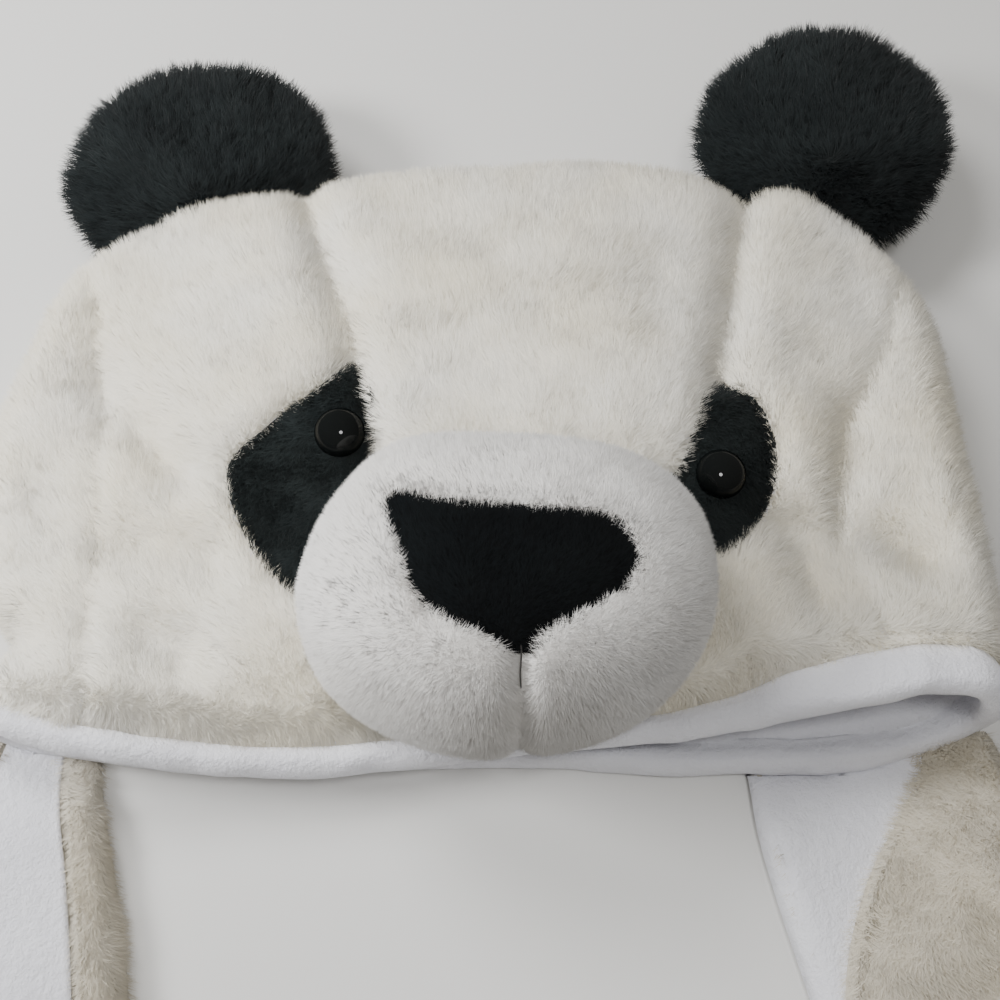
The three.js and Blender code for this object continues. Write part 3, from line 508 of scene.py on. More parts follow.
def strands(name, points, faces, material, slot, density, length, lean, flow, seed, keep=None,
            tuft=3.4, pull=0.5, width=0.3, swirl=0.9, lift=0.5):
    """The pile, as joined blades of one long triangle each, with a density of blades to the square
    millimetre. A blade leaves along the normal, tipped towards the flow by the lean times the
    flow's length, and its tip is drawn to the middle of its tuft. Its broad side faces outwards and
    up, and it is shaded much as the surface below it, turned up by the lift where that is steep,
    because light passes through a real pile."""
    chance = np.random.default_rng(seed)
    root, normal = scatter(np.asarray(points).reshape(-1, 3), faces, density, chance)
    if keep is not None:
        kept = keep(root, normal)
        root, normal = root[kept], normal[kept]
    count = len(root)
    way = flow(root)
    lean = lean * np.linalg.norm(way, axis=-1)
    way = unit(way - normal * (way * normal).sum(-1, keepdims=True))
    side = np.cross(normal, way)
    turn = soft_noise(root, SWIRL_SIZES[0], seed + 1) + soft_noise(root, SWIRL_SIZES[1], seed + 2)
    turn = swirl * turn
    turn = (turn + chance.normal(0, TURN_SPREAD, count))[:, None]
    way = way * np.cos(turn) + side * np.sin(turn)
    tip = lean * (1 + TIP_WAVE[1] * soft_noise(root, TIP_WAVE[0], seed + 3))
    tip = tip + chance.normal(0, TIP_SPREAD, count)
    long = length * chance.uniform(*LENGTH_SPREAD, count)
    long = long * (1 + LENGTH_WAVE[1] * soft_noise(root, LENGTH_WAVE[0], seed + 4))
    tip, long = tip[:, None], long[:, None]
    draw = tuft_pull(root, tuft, seed + 5)
    draw = pull * (draw - normal * (draw * normal).sum(-1, keepdims=True))
    start = root - ROOT_SUNK * normal
    end = root + long * (normal * np.cos(tip) + way * np.sin(tip)) + draw
    blade = unit(end - start)
    wide = unit(np.cross(blade, FACE_SHARE * normal + FACE_UP))
    roll = chance.normal(0, ROLL_SPREAD, count)[:, None]
    wide = wide * np.cos(roll) + np.cross(blade, wide) * np.sin(roll)
    places = np.stack([start - wide * width / 2, start + wide * width / 2, end], 1)
    places[..., 2] = np.maximum(places[..., 2], STRAND_LOWEST)
    piece = make_mesh(name, places, np.arange(3 * count).reshape(-1, 3), material)
    up = lift * (1 - normal[:, 2:]) * SHADE_UP
    shade = normal + up + SHADE_LEAN * way * np.sin(tip) + chance.normal(0, SHADE_SPREAD, (count, 3))
    piece.data.normals_split_custom_set_from_vertices(np.repeat(unit(shade), 3, 0).tolist())
    # The reach mark runs from root to tip, for the pile's painted shade towards the roots.
    mark_points(piece, reach=np.tile([0, 0, 1], count), tint=np.repeat(chance.random(count), 3))
    finish_piece(piece, slot)


def plush_piece(skin_name, pile_name, points, faces, looks, slot, node, wall=BACKING, welded=True,
                **pile):
    """A piece of plush: its skin, which stands for a solid, and the pile on it."""
    pile_look, backing_look = looks
    skin = skin_piece(skin_name, points, faces, backing_look, slot, node, wall=wall, welded=welded)
    strands(pile_name, points, faces, pile_look, slot, **pile)
    return skin


def add_node(tree, kind, inputs, **settings):
    """A new node with its settings and its filled inputs."""
    node = tree.nodes.new(kind)
    for label, value in settings.items():
        setattr(node, label, value)
    feed(tree, node, inputs)
    return node


def texture(tree, kind, inputs):
    """The value of a texture that lies in the object's own coordinates."""
    place = add_node(tree, "ShaderNodeTexCoord", {}).outputs["Object"]
    return add_node(tree, kind, {"Vector": place, **inputs}).outputs["Fac"]


def attribute(tree, label):
    """The value that is written at a piece's points under that name."""
    return add_node(tree, "ShaderNodeAttribute", {}, attribute_name=label).outputs["Fac"]


def worked_out(tree, operation, *values, clamp=False):
    """The result of a Math node."""
    return add_node(tree, "ShaderNodeMath", dict(enumerate(values)), operation=operation,
                    use_clamp=clamp).outputs[0]


def mapped(tree, value, from_low=0.0, from_high=1.0, to_low=0.0, to_high=1.0):
    """A value carried from one range to another."""
    return add_node(tree, "ShaderNodeMapRange", {
        "Value": value, "From Min": from_low, "From Max": from_high, "To Min": to_low,
        "To Max": to_high}).outputs["Result"]


def blended(tree, factor, first, second):
    """Two colours mixed by a factor."""
    return add_node(tree, "ShaderNodeMix", {"Factor": factor, "A": first, "B": second},
                    data_type="RGBA").outputs["Result"]


def pile_tone_group():
    """The plush's colour: light and shade mixed by broad cloudy noise and by fine fibre noise."""
    tree = bpy.data.node_groups.new("pile_tone", "ShaderNodeTree")
    for label, kind, value in (
            ("Light", "NodeSocketColor", (0.8, 0.8, 0.8, 1)),
            ("Shade", "NodeSocketColor", (0.6, 0.6, 0.6, 1)),
            ("Cloud Size", "NodeSocketFloat", 25.0), ("Fibre Size", "NodeSocketFloat", 900.0)):
        tree.interface.new_socket(label, in_out="INPUT", socket_type=kind).default_value = value
    for label, kind in (("Color", "NodeSocketColor"), ("Height", "NodeSocketFloat"),
                        ("Roughness", "NodeSocketFloat")):
        tree.interface.new_socket(label, in_out="OUTPUT", socket_type=kind)
    given, result = tree.nodes.new("NodeGroupInput"), tree.nodes.new("NodeGroupOutput")
    cloud = texture(tree, "ShaderNodeTexNoise", {"Scale": given.outputs["Cloud Size"], "Detail": 3})
    fibre = texture(tree, "ShaderNodeTexNoise", {
        "Scale": given.outputs["Fibre Size"], "Detail": 4, "Roughness": 0.7})
    spread = mapped(tree, worked_out(tree, "MULTIPLY_ADD", fibre, 0.35, cloud), 0.48, 0.86)
    feed(tree, result, {
        "Color": blended(tree, spread, given.outputs["Light"], given.outputs["Shade"]),
        "Height": fibre, "Roughness": mapped(tree, fibre, to_low=0.82, to_high=0.98)})
    return tree


PILE_TONE = pile_tone_group()


def plush_look(name, light, shade, root, cloud_size=25.0, sheen=0.15):
    """Two finishes of one plush: its pile, darker towards the roots, which is painted shade deep in
    the pile, and a little different from strand to strand, and the backing that the pile stands on,
    in the roots' colour. A strand is as bright from behind, because light passes through it."""
    looks = []
    for part in ("pile", "backing"):
        look, tree, shader = new_look(f"{name}_{part}")
        tone = add_node(tree, "ShaderNodeGroup", {
            "Light": (*light, 1), "Shade": (*shade, 1), "Cloud Size": cloud_size}, node_tree=PILE_TONE)
        # Towards each strand's root the pile is mixed to the roots' colour: painted shade deep in the
        # pile.
        share = 0.4
        if part == "pile":
            share = worked_out(
                tree, "MULTIPLY_ADD", attribute(tree, "tint"), 0.3, attribute(tree, "reach"), clamp=True)
        deep = blended(tree, share, (*root, 1), tone.outputs["Color"])
        feed(tree, shader, {
            "Base Color": deep, "Roughness": tone.outputs["Roughness"], "Sheen Weight": sheen,
            "Sheen Roughness": 0.5, "Specular IOR Level": 0.25})
        if part == "pile":
            through = add_node(tree, "ShaderNodeBsdfTranslucent", {"Color": deep})
            face = add_node(tree, "ShaderNodeNewGeometry", {})
            both = add_node(tree, "ShaderNodeMixShader", {
                "Fac": face.outputs["Backfacing"], 1: shader.outputs["BSDF"], 2: through.outputs["BSDF"]})
            feed(tree, tree.nodes["Material Output"], {"Surface": both.outputs["Shader"]})
        else:
            bump = add_node(tree, "ShaderNodeBump", {
                "Strength": 0.6, "Distance": 0.001, "Height": tone.outputs["Height"]})
            feed(tree, shader, {"Normal": bump.outputs["Normal"]})
        looks.append(look)
    return looks


WHITE_PLUSH = plush_look(
    "white_plush", (0.865, 0.843, 0.785), (0.815, 0.762, 0.63), (0.765, 0.738, 0.665))


def crown_grids(flat_columns, flat_rows, arcs, depth, start):
    """The crown's front and back walls as grids of points, from the start line to the top fold."""
    columns = [steps[None, :] for steps in crown_steps(flat_columns, arcs, True)]
    rows = [steps[:, None] for steps in crown_steps(flat_rows, arcs, False)]
    return [crown_sheet(sheet, columns, rows, depth, start) for sheet in ("front", "back")]


def back_panel_grid():
    """The whole crown as a front and a back grid. Cells of the front within its seam are left out,
    and the points round the gap are moved onto the seam."""
    front, back = crown_grids(88, 56, 8, PILE_DEPTH, past_hem)
    front_cells = grid_faces(front)
    flat_front = front.reshape(-1, 3)
    middle = flat_front[front_cells].mean(1)
    taken = inside(FRONT_OUTLINE, middle[:, 0], middle[:, 1])
    kept = front_cells[~taken]
    edge = np.intersect1d(kept, front_cells[taken])
    ends = np.roll(FRONT_OUTLINE, -1, axis=0)
    place, _ = nearest_on(FRONT_OUTLINE, ends, flat_front[edge, 0], flat_front[edge, 1])
    flat_front[edge, :2] = place
    flat_front[edge, 2] = front_face(place[:, 0], place[:, 1], PILE_DEPTH + SIDE_SEAM_SINK)
    faces = np.vstack([kept, grid_faces(back, len(flat_front), flipped=True)])
    return np.vstack([flat_front, back.reshape(-1, 3)]), faces


def pile_flow(x, y, z):
    """A steady way for the pile to lie."""
    return lambda root: np.broadcast_to(np.array([x, y, z], float), root.shape)


def across_at_rim(x):
    """How far across the crown a place at the rim is, from -1 to 1."""
    left, right = LEFT_FOLD[0], RIGHT_FOLD[0]
    return np.clip((2 * x - left - right) / (right - left), -1, 1)


def over_hem(flow):
    """The same way, turned round towards the rim by a bell curve of the distance from the hem, and
    longer there, so that the pile lies flatter."""
    def turned(root):
        across = across_at_rim(root[:, 0])
        away = root[:, 1] - smooth_read(ACROSS, RIM["front"], across) - past_hem("front", across)
        share = np.exp(-(away / HEM_TURN_REACH) ** 2)
        x, y, z = flow(root).T
        sine, cosine = np.sin(math.pi * share), np.cos(math.pi * share)
        turned_way = np.stack([x * cosine + y * sine, y * cosine - x * sine, z], -1)
        return turned_way * (1 + HEM_TURN_FLATTER * share[:, None])
    return turned


def mostly_above(root, normal):
    """All the strands of the front and the folds, and one in twelve of those under the hat."""
    return (normal[:, 2] > -0.8) | (np.arange(len(root)) % 12 == 0)


plush_piece("back_of_crown", "back_of_crown_pile", *back_panel_grid(), WHITE_PLUSH, "white_plush",
            "back_panel", density=6.0, length=5.6, lean=0.6, flow=over_hem(pile_flow(0, 1, 0)),
            seed=11, keep=mostly_above)

# The front of the crown: a forehead and two cheeks of white plush, sewn together along the darts
# and the brow, with a window for each eye patch. Along the seams the cloth is drawn in, so that the
# pile fans out over them.
LEFT_DART = [(-69, 150), (-67, 120), (-57, 88), (-46, 60), (-41, 45)]
RIGHT_DART = [(67, 26), (65, 42), (69, 58), (76, 88), (82, 118), (84, 150)]
BROW_SEAM = [(-38, 12), (-34, 4), (4, 0), (40, -2), (58, 8)]
LEFT_PATCH = [
    (-42, 47), (-37.5, 30), (-36, 10), (-42, -10), (-53, -26.5), (-64, -21), (-74, -6), (-79, 12),
    (-68, 24), (-52, 37),
]
RIGHT_PATCH = [
    (64, 40), (76, 34), (81, 20), (79, 5), (73, -5), (62, -15.5), (52, -8), (43, 4), (52, 12), (57, 26),
]
CHIN_SEAM_X = 5
PANEL_STEP = 3.0
SEAM_DRAW = 2.6
SEAM_REACH = 3.6

forehead_line = np.vstack([smooth_line(seam, 10) for seam in (LEFT_DART, BROW_SEAM, RIGHT_DART)])
left_patch_line = smooth_line(LEFT_PATCH, 8, closed=True)
right_patch_line = smooth_line(RIGHT_PATCH, 8, closed=True)
chin_line = np.stack([np.full(40, CHIN_SEAM_X), np.linspace(-64, -4, 40)], -1)


def front_plan():
    """One triangulation of the front in plan, which follows every seam, and for each triangle the
    number of its panel: forehead 0, left cheek 1, right cheek 2, left patch 3, right patch 4."""
    places, edges, number = [], [], 0
    for line, closed in ((FRONT_OUTLINE, True), (forehead_line, False), (left_patch_line, True),
                         (right_patch_line, True), (chin_line, False)):
        places.append(line)
        order = number + np.arange(len(line))
        pairs = np.stack([order, np.roll(order, -1)], -1)
        edges.append(pairs if closed else pairs[:-1])
        number += len(line)
    lines = np.vstack(places)
    starts, ends = lines[np.vstack(edges)[:, 0]], lines[np.vstack(edges)[:, 1]]
    low, high = FRONT_OUTLINE.min(0), FRONT_OUTLINE.max(0)
    x, y = np.meshgrid(np.arange(low[0], high[0], PANEL_STEP), np.arange(low[1], high[1], PANEL_STEP))
    x[1::2] += PANEL_STEP / 2
    x, y = x.ravel(), y.ravel()
    _, away = nearest_on(starts, ends, x, y)
    room = inside(FRONT_OUTLINE, x, y) & (away > PANEL_STEP * 0.6)
    places.append(np.stack([x[room], y[room]], -1))
    found, _, cells, *_ = delaunay_2d_cdt(
        [Vector(p) for p in np.vstack(places).tolist()], np.vstack(edges).tolist(), [], 0, 1e-4)
    found, cells = np.array([(p.x, p.y) for p in found]), np.array(cells)
    mx, my = found[cells].mean(1).T
    panel = np.where(mx < CHIN_SEAM_X, 1, 2)
    for line, number in ((forehead_line, 0), (left_patch_line, 3), (right_patch_line, 4)):
        panel[inside(line, mx, my)] = number
    real = inside(FRONT_OUTLINE, mx, my)
    return found, cells[real], panel[real]


plan_places, plan_cells, plan_panel = front_plan()


def panel_of(number, depth, draw=SEAM_DRAW):
    """One panel's points and triangles: its part of the plan, lifted to the front wall and lowered
    along its seams by a bell curve of the distance from them."""
    cells = plan_cells[plan_panel == number]
    used, cells = np.unique(cells, return_inverse=True)
    cells = cells.reshape(-1, 3)
    x, y = plan_places[used].T
    pairs = np.sort(np.vstack([cells[:, [0, 1]], cells[:, [1, 2]], cells[:, [2, 0]]]), 1)
    pairs, uses = np.unique(pairs, axis=0, return_counts=True)
    rim = pairs[uses == 1]
    flat = np.stack([x, y], -1)
    _, away = nearest_on(flat[rim[:, 0]], flat[rim[:, 1]], x, y)
    z = front_face(x, y, depth) - draw * np.exp(-(away / SEAM_REACH) ** 2)
    return np.stack([x, y, z], -1), cells


def towards(line, root, reach):
    """The way from each root to the nearest place on a closed line, and a bell curve of how far
    away that is."""
    place, away = nearest_on(line, np.roll(line, -1, axis=0), root[:, 0], root[:, 1])
    way = np.column_stack([unit(place - root[:, :2]), np.zeros(len(root))])
    return way, np.exp(-(away / reach) ** 2)[:, None]


# Lines that turn the pile close to them: away from the darts and the brow, and over the patches.
PILE_TURNS = [(forehead_line, -0.8, 2.4), (left_patch_line, 0.3, 2.6), (right_patch_line, 0.3, 2.6)]


def by_seams(flow, turns=PILE_TURNS):
    """The same way, blended close to each line with the way to it, times the line's strength."""
    def turned(root):
        way = flow(root)
        for line, strength, reach in turns:
            to_line, share = towards(line, root, reach)
            way = way * (1 - share) + strength * to_line * share
        return way
    return turned


MUZZLE_OUTLINE = [
    (57, -29), (52, -8), (34, 6), (0, 11), (-30, 8), (-46, -10), (-53, -35), (-44, -59), (-20, -72),
    (6, -74), (34, -67), (52, -49),
]
MUZZLE_COVER = 0.9


def past_muzzle(root, normal):
    """True for roots that the muzzle doesn't cover."""
    return ~inside(smooth_line(MUZZLE_OUTLINE, 6, closed=True) * MUZZLE_COVER, root[:, 0], root[:, 1])


PANELS = [
    ("forehead", 0, "forehead_panel", (0, 1, 0)),
    ("cheek_left", 1, "cheek_panel_left", (-0.2, 0.98, 0)),
    ("cheek_right", 2, "cheek_panel_right", (0.3, 0.95, 0)),
]
for name, number, node, flow in PANELS:
    plush_piece(name, f"{name}_pile", *panel_of(number, PILE_DEPTH), WHITE_PLUSH, "white_plush", node,
                welded=False, density=7.5, length=5.8, lean=0.6,
                flow=by_seams(over_hem(pile_flow(*flow))), seed=20 + 10 * number, keep=past_muzzle)

# The eye patches: black plush of a shorter pile, sewn into the windows between forehead and cheeks.
# Their pile turns inwards along the seam.
PATCH_PILE_DEPTH = 2.6
PATCH_SEAM_DRAW = 1.2
PATCH_PLUSH = plush_look(
    "patch_plush", (0.026, 0.033, 0.033), (0.017, 0.022, 0.023), (0.008, 0.010, 0.010), 40.0, 0.12)
for side, number, line in (("left", 3, left_patch_line), ("right", 4, right_patch_line)):
    node = f"eye_patch_{side}"
    plush_piece(f"{node}_plush", f"{node}_pile", *panel_of(number, PATCH_PILE_DEPTH, PATCH_SEAM_DRAW),
                PATCH_PLUSH, "black_plush", node, welded=False, density=6.5, length=3.4, lean=0.8,
                flow=by_seams(pile_flow(0, -1, 0), [(line, -0.9, 2.2)]), seed=70 + number, pull=0.2)

# The eyes: domed buttons of glossy black plastic, seated in the patches. Part of a paler, faintly
# amber ring shows near the rim of each: the ring is the plastic's own, and it is painted only on
# the side where light catches it, as a painted highlight.
EYE_RADIUS = 7.3
EYE_DOME = 5.5
EYE_SEAT = 2.5
EYE_SUNK = 1.5
# The paler ring, a painted highlight on the side where light catches it: the turn from +X at which
# it shows on each eye, how far out it lies and how wide it is, as shares of the radius, and how far
# round it reaches, as a turn.
RING_HIGHLIGHT_SIDE = {"left": math.radians(190), "right": math.radians(-40)}
RING_OUT, RING_WIDTH, RING_LENGTH = 0.88, 0.03, 0.55


def eye_look():
    """Glossy black under a clear coat that dulls towards the rim, where the patch's fuzz lies on it,
    with part of a paler ring near the rim: the plastic's own ring, shown only where light catches it,
    as a painted highlight."""
    look, tree, shader = new_look("eye_plastic")
    noise = texture(tree, "ShaderNodeTexNoise", {"Scale": 90})
    patchy = mapped(tree, noise, 0.38, 0.62)
    # The ring's colour, with its painted highlight, is mixed in where the rim mark is.
    ring = worked_out(tree, "MULTIPLY", attribute(tree, "rim"), patchy)
    feed(tree, shader, {
        "Base Color": blended(tree, ring, (0.004, 0.005, 0.005, 1), (0.036, 0.034, 0.029, 1)),
        "Roughness": mapped(tree, noise, to_low=0.05, to_high=0.16), "Specular IOR Level": 0,
        "Coat Weight": attribute(tree, "gloss"), "Coat Roughness": 0.03})
    return look


EYE_LOOK = eye_look()
for side, (eye_x, eye_y) in EYES.items():
    reach = np.array([[EYE_RADIUS, 0], [-EYE_RADIUS, 0], [0, EYE_RADIUS], [0, -EYE_RADIUS], [0, 0]])
    heights = front_face(eye_x + reach[:, 0], eye_y + reach[:, 1], 0.0)
    up = unit(np.array([heights[1] - heights[0], heights[3] - heights[2], 2 * EYE_RADIUS]))
    along_x = unit(np.cross([0, 1, 0], up))
    along_y = np.cross(up, along_x)
    turn = np.linspace(0, math.pi / 2, 15)
    radius = np.append([0, 0.9 * EYE_RADIUS], EYE_RADIUS * np.cos(turn))[:, None]
    height = np.append([-EYE_SEAT, -EYE_SEAT], EYE_DOME * np.sin(turn))[:, None]
    angle = np.linspace(0, 2 * math.pi, 49)[None, :]
    dome = (np.array([eye_x, eye_y, heights[4] - EYE_SUNK])
            + (radius * np.cos(angle))[..., None] * along_x
            + (radius * np.sin(angle))[..., None] * along_y
            + (height * np.ones_like(angle))[..., None] * up)
    eye = make_mesh(f"eye_button_{side}", dome, grid_faces(dome), EYE_LOOK)
    # Painted highlight: the ring shows only round the side of each eye where light catches it.
    off = np.abs((angle[0] - RING_HIGHLIGHT_SIDE[side] + math.pi) % (2 * math.pi) - math.pi)
    out = radius[:, 0] / EYE_RADIUS
    ring = np.outer(np.exp(-((out - RING_OUT) / RING_WIDTH) ** 2), np.exp(-(off / RING_LENGTH) ** 4))
    gloss = np.outer(0.5 * (1 - out ** 4), np.ones(angle.size))
    mark_points(eye, rim=ring.ravel(), gloss=gloss.ravel())
    weld(eye)
    finish_piece(eye, "eye_plastic", f"eye_{side}")

# The muzzle: a stuffed ball of white plush with a shorter, denser pile, sewn over the front, with a
# seam drawn in below the nose. Its underside lies on the front of the crown.
MUZZLE_CENTRE = np.array([2.5, -31])
MUZZLE_PROFILE = [
    (0.86, 8), (0.9, 24), (0.965, 38), (1.0, 52), (0.985, 60), (0.92, 69), (0.8, 76), (0.62, 81),
    (0.36, 84), (0.0, 85),
]
WIDEST_ROW = 3
MUZZLE_TILT = 5
MUZZLE_TILT_HEIGHTS = (52, 85)
MUZZLE_REACH = 42
MUZZLE_LOWEST = 8.0
CROWN_START_Y = -62.0
BED_SINK = 1.0
CHIN_GROOVE_DEPTH = 3.4
CHIN_GROOVE_HALF_WIDTH = 3.2
CHIN_GROOVE_BEGINS = (52, 60)
CHIN_SEAM_START_Y = -54
NOSE_OUTLINE = [
    (-28.5, -16), (-12, -19.5), (10, -21.5), (27, -23.5), (34, -32), (31, -41), (12, -53), (5, -58),
    (-4, -54.5), (-17, -48), (-24, -34),
]
NOSE_ABOVE = 60
MUZZLE_PILE_DEPTH = 2.4
NOSE_RECESS = 2.0
PILE_OUTWARDS, PILE_UP = 0.6, np.array([0, 0.5, 0.2])
NOSE_TURN, NOSE_TURN_REACH = 1.5, 4
CHIN_TURN_REACH = 4

muzzle_line = smooth_line(MUZZLE_OUTLINE, 12, closed=True)
nose_line = smooth_line(NOSE_OUTLINE, 8, closed=True)


def smooth_step(values, low, high):
    """0 below low and 1 above high, with level ends."""
    share = np.clip((values - low) / (high - low), 0, 1)
    return share * share * (3 - 2 * share)


def muzzle_tilt(height, y):
    """How far the muzzle's top is lowered towards the top of the crown and raised towards the chin."""
    return -MUZZLE_TILT * smooth_step(height, *MUZZLE_TILT_HEIGHTS) * y / MUZZLE_REACH


def muzzle_skin():
    """The muzzle's outline carried up its profile, a share of the outline and a height at each row,
    and moved in by the pile's depth, the chin's groove and the nose's recess. Rows below the
    crown's front lie on it."""
    shares, heights = np.array(MUZZLE_PROFILE, float).T
    steps = range(len(shares))
    at = np.linspace(0, steps[-1], 64)
    share, height = smooth_read(steps, shares, at), smooth_read(steps, heights, at)
    rise, shrink = np.gradient(height), -MUZZLE_REACH * np.gradient(share)
    long = np.hypot(rise, shrink)
    out_flat, out_up = (rise / long)[:, None], (shrink / long)[:, None]
    share, height = share[:, None], height[:, None]
    away = muzzle_line - MUZZLE_CENTRE
    plain = away[None] * share[..., None]
    x, y = MUZZLE_CENTRE[0] + plain[..., 0], MUZZLE_CENTRE[1] + plain[..., 1]
    groove = np.exp(-((x - CHIN_SEAM_X) / CHIN_GROOVE_HALF_WIDTH) ** 2)
    groove = groove * CHIN_GROOVE_DEPTH * smooth_step(-y, *CHIN_GROOVE_BEGINS)
    recess = NOSE_RECESS * (inside(nose_line, x, y) & (height > MUZZLE_TILT_HEIGHTS[0]))
    push = -MUZZLE_PILE_DEPTH - groove - recess
    place = plain + unit(away) * (push * out_flat)[..., None]
    z = height + muzzle_tilt(height, place[..., 1]) + push * out_up
    under = np.linspace(0, 0.9, 10)[:, None, None] * place[0]
    place = np.concatenate([under, place])
    z = np.concatenate([np.full(under.shape[:2], MUZZLE_LOWEST), z])
    x, y = MUZZLE_CENTRE[0] + place[..., 0], MUZZLE_CENTRE[1] + place[..., 1]
    bed = front_face(x.ravel(), np.maximum(y.ravel(), CROWN_START_Y), 0.0).reshape(x.shape) - BED_SINK
    return np.stack([x, y, np.maximum(z, bed)], -1)


def muzzle_height(x, y):
    """The height of the muzzle's upper face in plan: its profile at the place's share of the way
    from the middle to the outline."""
    away = np.stack([x, y], -1) - MUZZLE_CENTRE
    edge = muzzle_line - MUZZLE_CENTRE
    turn = np.arctan2(edge[:, 1], edge[:, 0])
    order = turn.argsort()
    reach = np.interp(np.arctan2(away[..., 1], away[..., 0]), turn[order],
                      np.linalg.norm(edge, axis=1)[order], period=2 * math.pi)
    share = np.linalg.norm(away, axis=-1) / reach
    upper = np.array(MUZZLE_PROFILE[WIDEST_ROW:], float)[::-1]
    height = smooth_read(upper[:, 0], upper[:, 1], share)
    return height + muzzle_tilt(height, away[..., 1])


def closed_round(grid):
    """The grid with its first column again at the end, so that it closes on itself."""
    return np.concatenate([grid, grid[:, :1]], 1)


def muzzle_flow(root):
    """Outwards and up from the muzzle's middle, but over the nose's edge and into the chin's seam
    close to them."""
    away = root[:, :2] - MUZZLE_CENTRE
    out = np.column_stack([PILE_OUTWARDS * unit(away), np.zeros(len(root))]) + PILE_UP
    to_nose, share = towards(nose_line, root, NOSE_TURN_REACH)
    share = share * (root[:, 2:] > NOSE_ABOVE)
    to_seam = np.array([1.0, 0, 0]) * np.sign(CHIN_SEAM_X - root[:, :1])
    by_seam = np.exp(-((root[:, :1] - CHIN_SEAM_X) / CHIN_TURN_REACH) ** 2)
    by_seam = by_seam * (root[:, 1:2] < CHIN_SEAM_START_Y)
    return out * (1 - share) * (1 - by_seam) + NOSE_TURN * to_nose * share + to_seam * by_seam


def past_nose(root, normal):
    """True for roots that show: off the nose, and above the crown's front."""
    on_nose = inside(nose_line, root[:, 0], root[:, 1]) & (root[:, 2] > NOSE_ABOVE)
    return ~on_nose & (normal[:, 2] > -0.5)


MUZZLE_PLUSH = plush_look(
    "muzzle_plush", (0.84, 0.83, 0.815), (0.775, 0.758, 0.73), (0.72, 0.70, 0.675))
points = closed_round(muzzle_skin())
muzzle = plush_piece(
    "muzzle_plush", "muzzle_pile", points, grid_faces(points), MUZZLE_PLUSH, "muzzle_plush", "muzzle",
    wall=0, density=8.5, length=3.0, lean=0.45, flow=muzzle_flow, seed=81, keep=past_nose, pull=0.2,
    width=0.26, swirl=1.6)

# The nose: a lightly padded patch of black plush let into the muzzle, with the end of its dark
# sewing thread showing in the chin's seam.
NOSE_MIDDLE = np.array([3, -33])
NOSE_SINK = 1.6
NOSE_EDGE_SINK = 2.4
THREAD_RADIUS = 0.22
THREAD_LENGTH = 9
THREAD_START_Y = -56.5
THREAD_SINK = 2.2
THREAD_DROP = 1.2

nose_share = np.append(np.linspace(0, 0.85, 14), np.linspace(0.9, 1, 5))[:, None, None]
nose_flat = NOSE_MIDDLE + nose_share * (nose_line - NOSE_MIDDLE)
nose_z = muzzle_height(nose_flat[..., 0], nose_flat[..., 1]) - NOSE_SINK
nose_z = nose_z - NOSE_EDGE_SINK * nose_share[..., 0] ** 8
points = closed_round(np.concatenate([nose_flat, nose_z[..., None]], -1))
NOSE_PLUSH = plush_look(
    "nose_plush", (0.007, 0.009, 0.010), (0.004, 0.005, 0.006), (0.002, 0.002, 0.002), 40.0, 0.03)
plush_piece("nose_plush", "nose_pile", points, grid_faces(points), NOSE_PLUSH, "black_plush", "nose",
            density=8.0, length=3.2, lean=0.6, flow=pile_flow(0.2, 1, 0), seed=91, tuft=2.2, pull=0.25)

thread_look, thread_tree, thread_shader = new_look("dark_thread")
twist = texture(thread_tree, "ShaderNodeTexWave", {"Scale": 900, "Distortion": 2})
feed(thread_tree, thread_shader, {
    "Base Color": blended(thread_tree, twist, (0.02, 0.02, 0.022, 1), (0.07, 0.065, 0.06, 1)),
    "Roughness": mapped(thread_tree, twist, to_low=0.5, to_high=0.8)})
down = np.linspace(0, 1, 25)[:, None]
angle = np.linspace(0, 2 * math.pi, 11)[None, :]
thread_y = THREAD_START_Y - THREAD_LENGTH * down
thread_x = CHIN_SEAM_X - 0.15 + 0.12 * np.sin(7 * down)
thread_z = muzzle_height(thread_x, thread_y) - THREAD_SINK - THREAD_DROP * down
wide = THREAD_RADIUS * np.sqrt(np.clip(1 - (2 * down - 1) ** 8, 0, 1))
points = np.stack(np.broadcast_arrays(
    thread_x + wide * np.cos(angle), thread_y, thread_z + wide * np.sin(angle)), -1)
skin_piece("chin_thread", points, grid_faces(points), thread_look, "black_plush")

# The ears: flat stuffed pads of black plush, sewn into the ends of the shoulder seams. They stand
# a little off the floor, and their pile fans out round the edge in uneven tufts.
EARS = [
    ("left", -102, 132, 46.5, 46, 20, 20, 25),
    ("right", 111, 144, 43.5, 46, -27, 20, 31),
]
EAR_HALF_THICKNESS = 9
EAR_FULLNESS = 2.6
EAR_PILE_DEPTH = 3.0
EAR_FAN = np.array([0, 12, 0])


def ear_skin(x, y, wide, deep, turn, root_z, tip_z):
    """A pad round a tilted middle plane: at a share of the outline its half thickness falls as the
    square root of one less that share to the power of the fullness."""
    lean = np.linspace(-math.pi / 2, math.pi / 2, 31)[:, None]
    share = np.cos(lean)
    half = (EAR_HALF_THICKNESS - EAR_PILE_DEPTH) * np.sqrt(np.clip(1 - share ** EAR_FULLNESS, 0, 1))
    angle = np.linspace(0, 2 * math.pi, 97)[None, :]
    ruffle = 1 + 0.012 * np.sin(5 * angle + x) + 0.01 * np.sin(9 * angle + y)
    across = (wide - EAR_PILE_DEPTH) * share * np.cos(angle) * ruffle
    out = (deep - EAR_PILE_DEPTH) * share * np.sin(angle) * ruffle
    middle = root_z + (out / deep + 1) / 2 * (tip_z - root_z)
    cos, sin = math.cos(math.radians(turn)), math.sin(math.radians(turn))
    return np.stack([x + across * cos - out * sin, y + across * sin + out * cos,
                     middle + np.sign(lean) * half], -1)


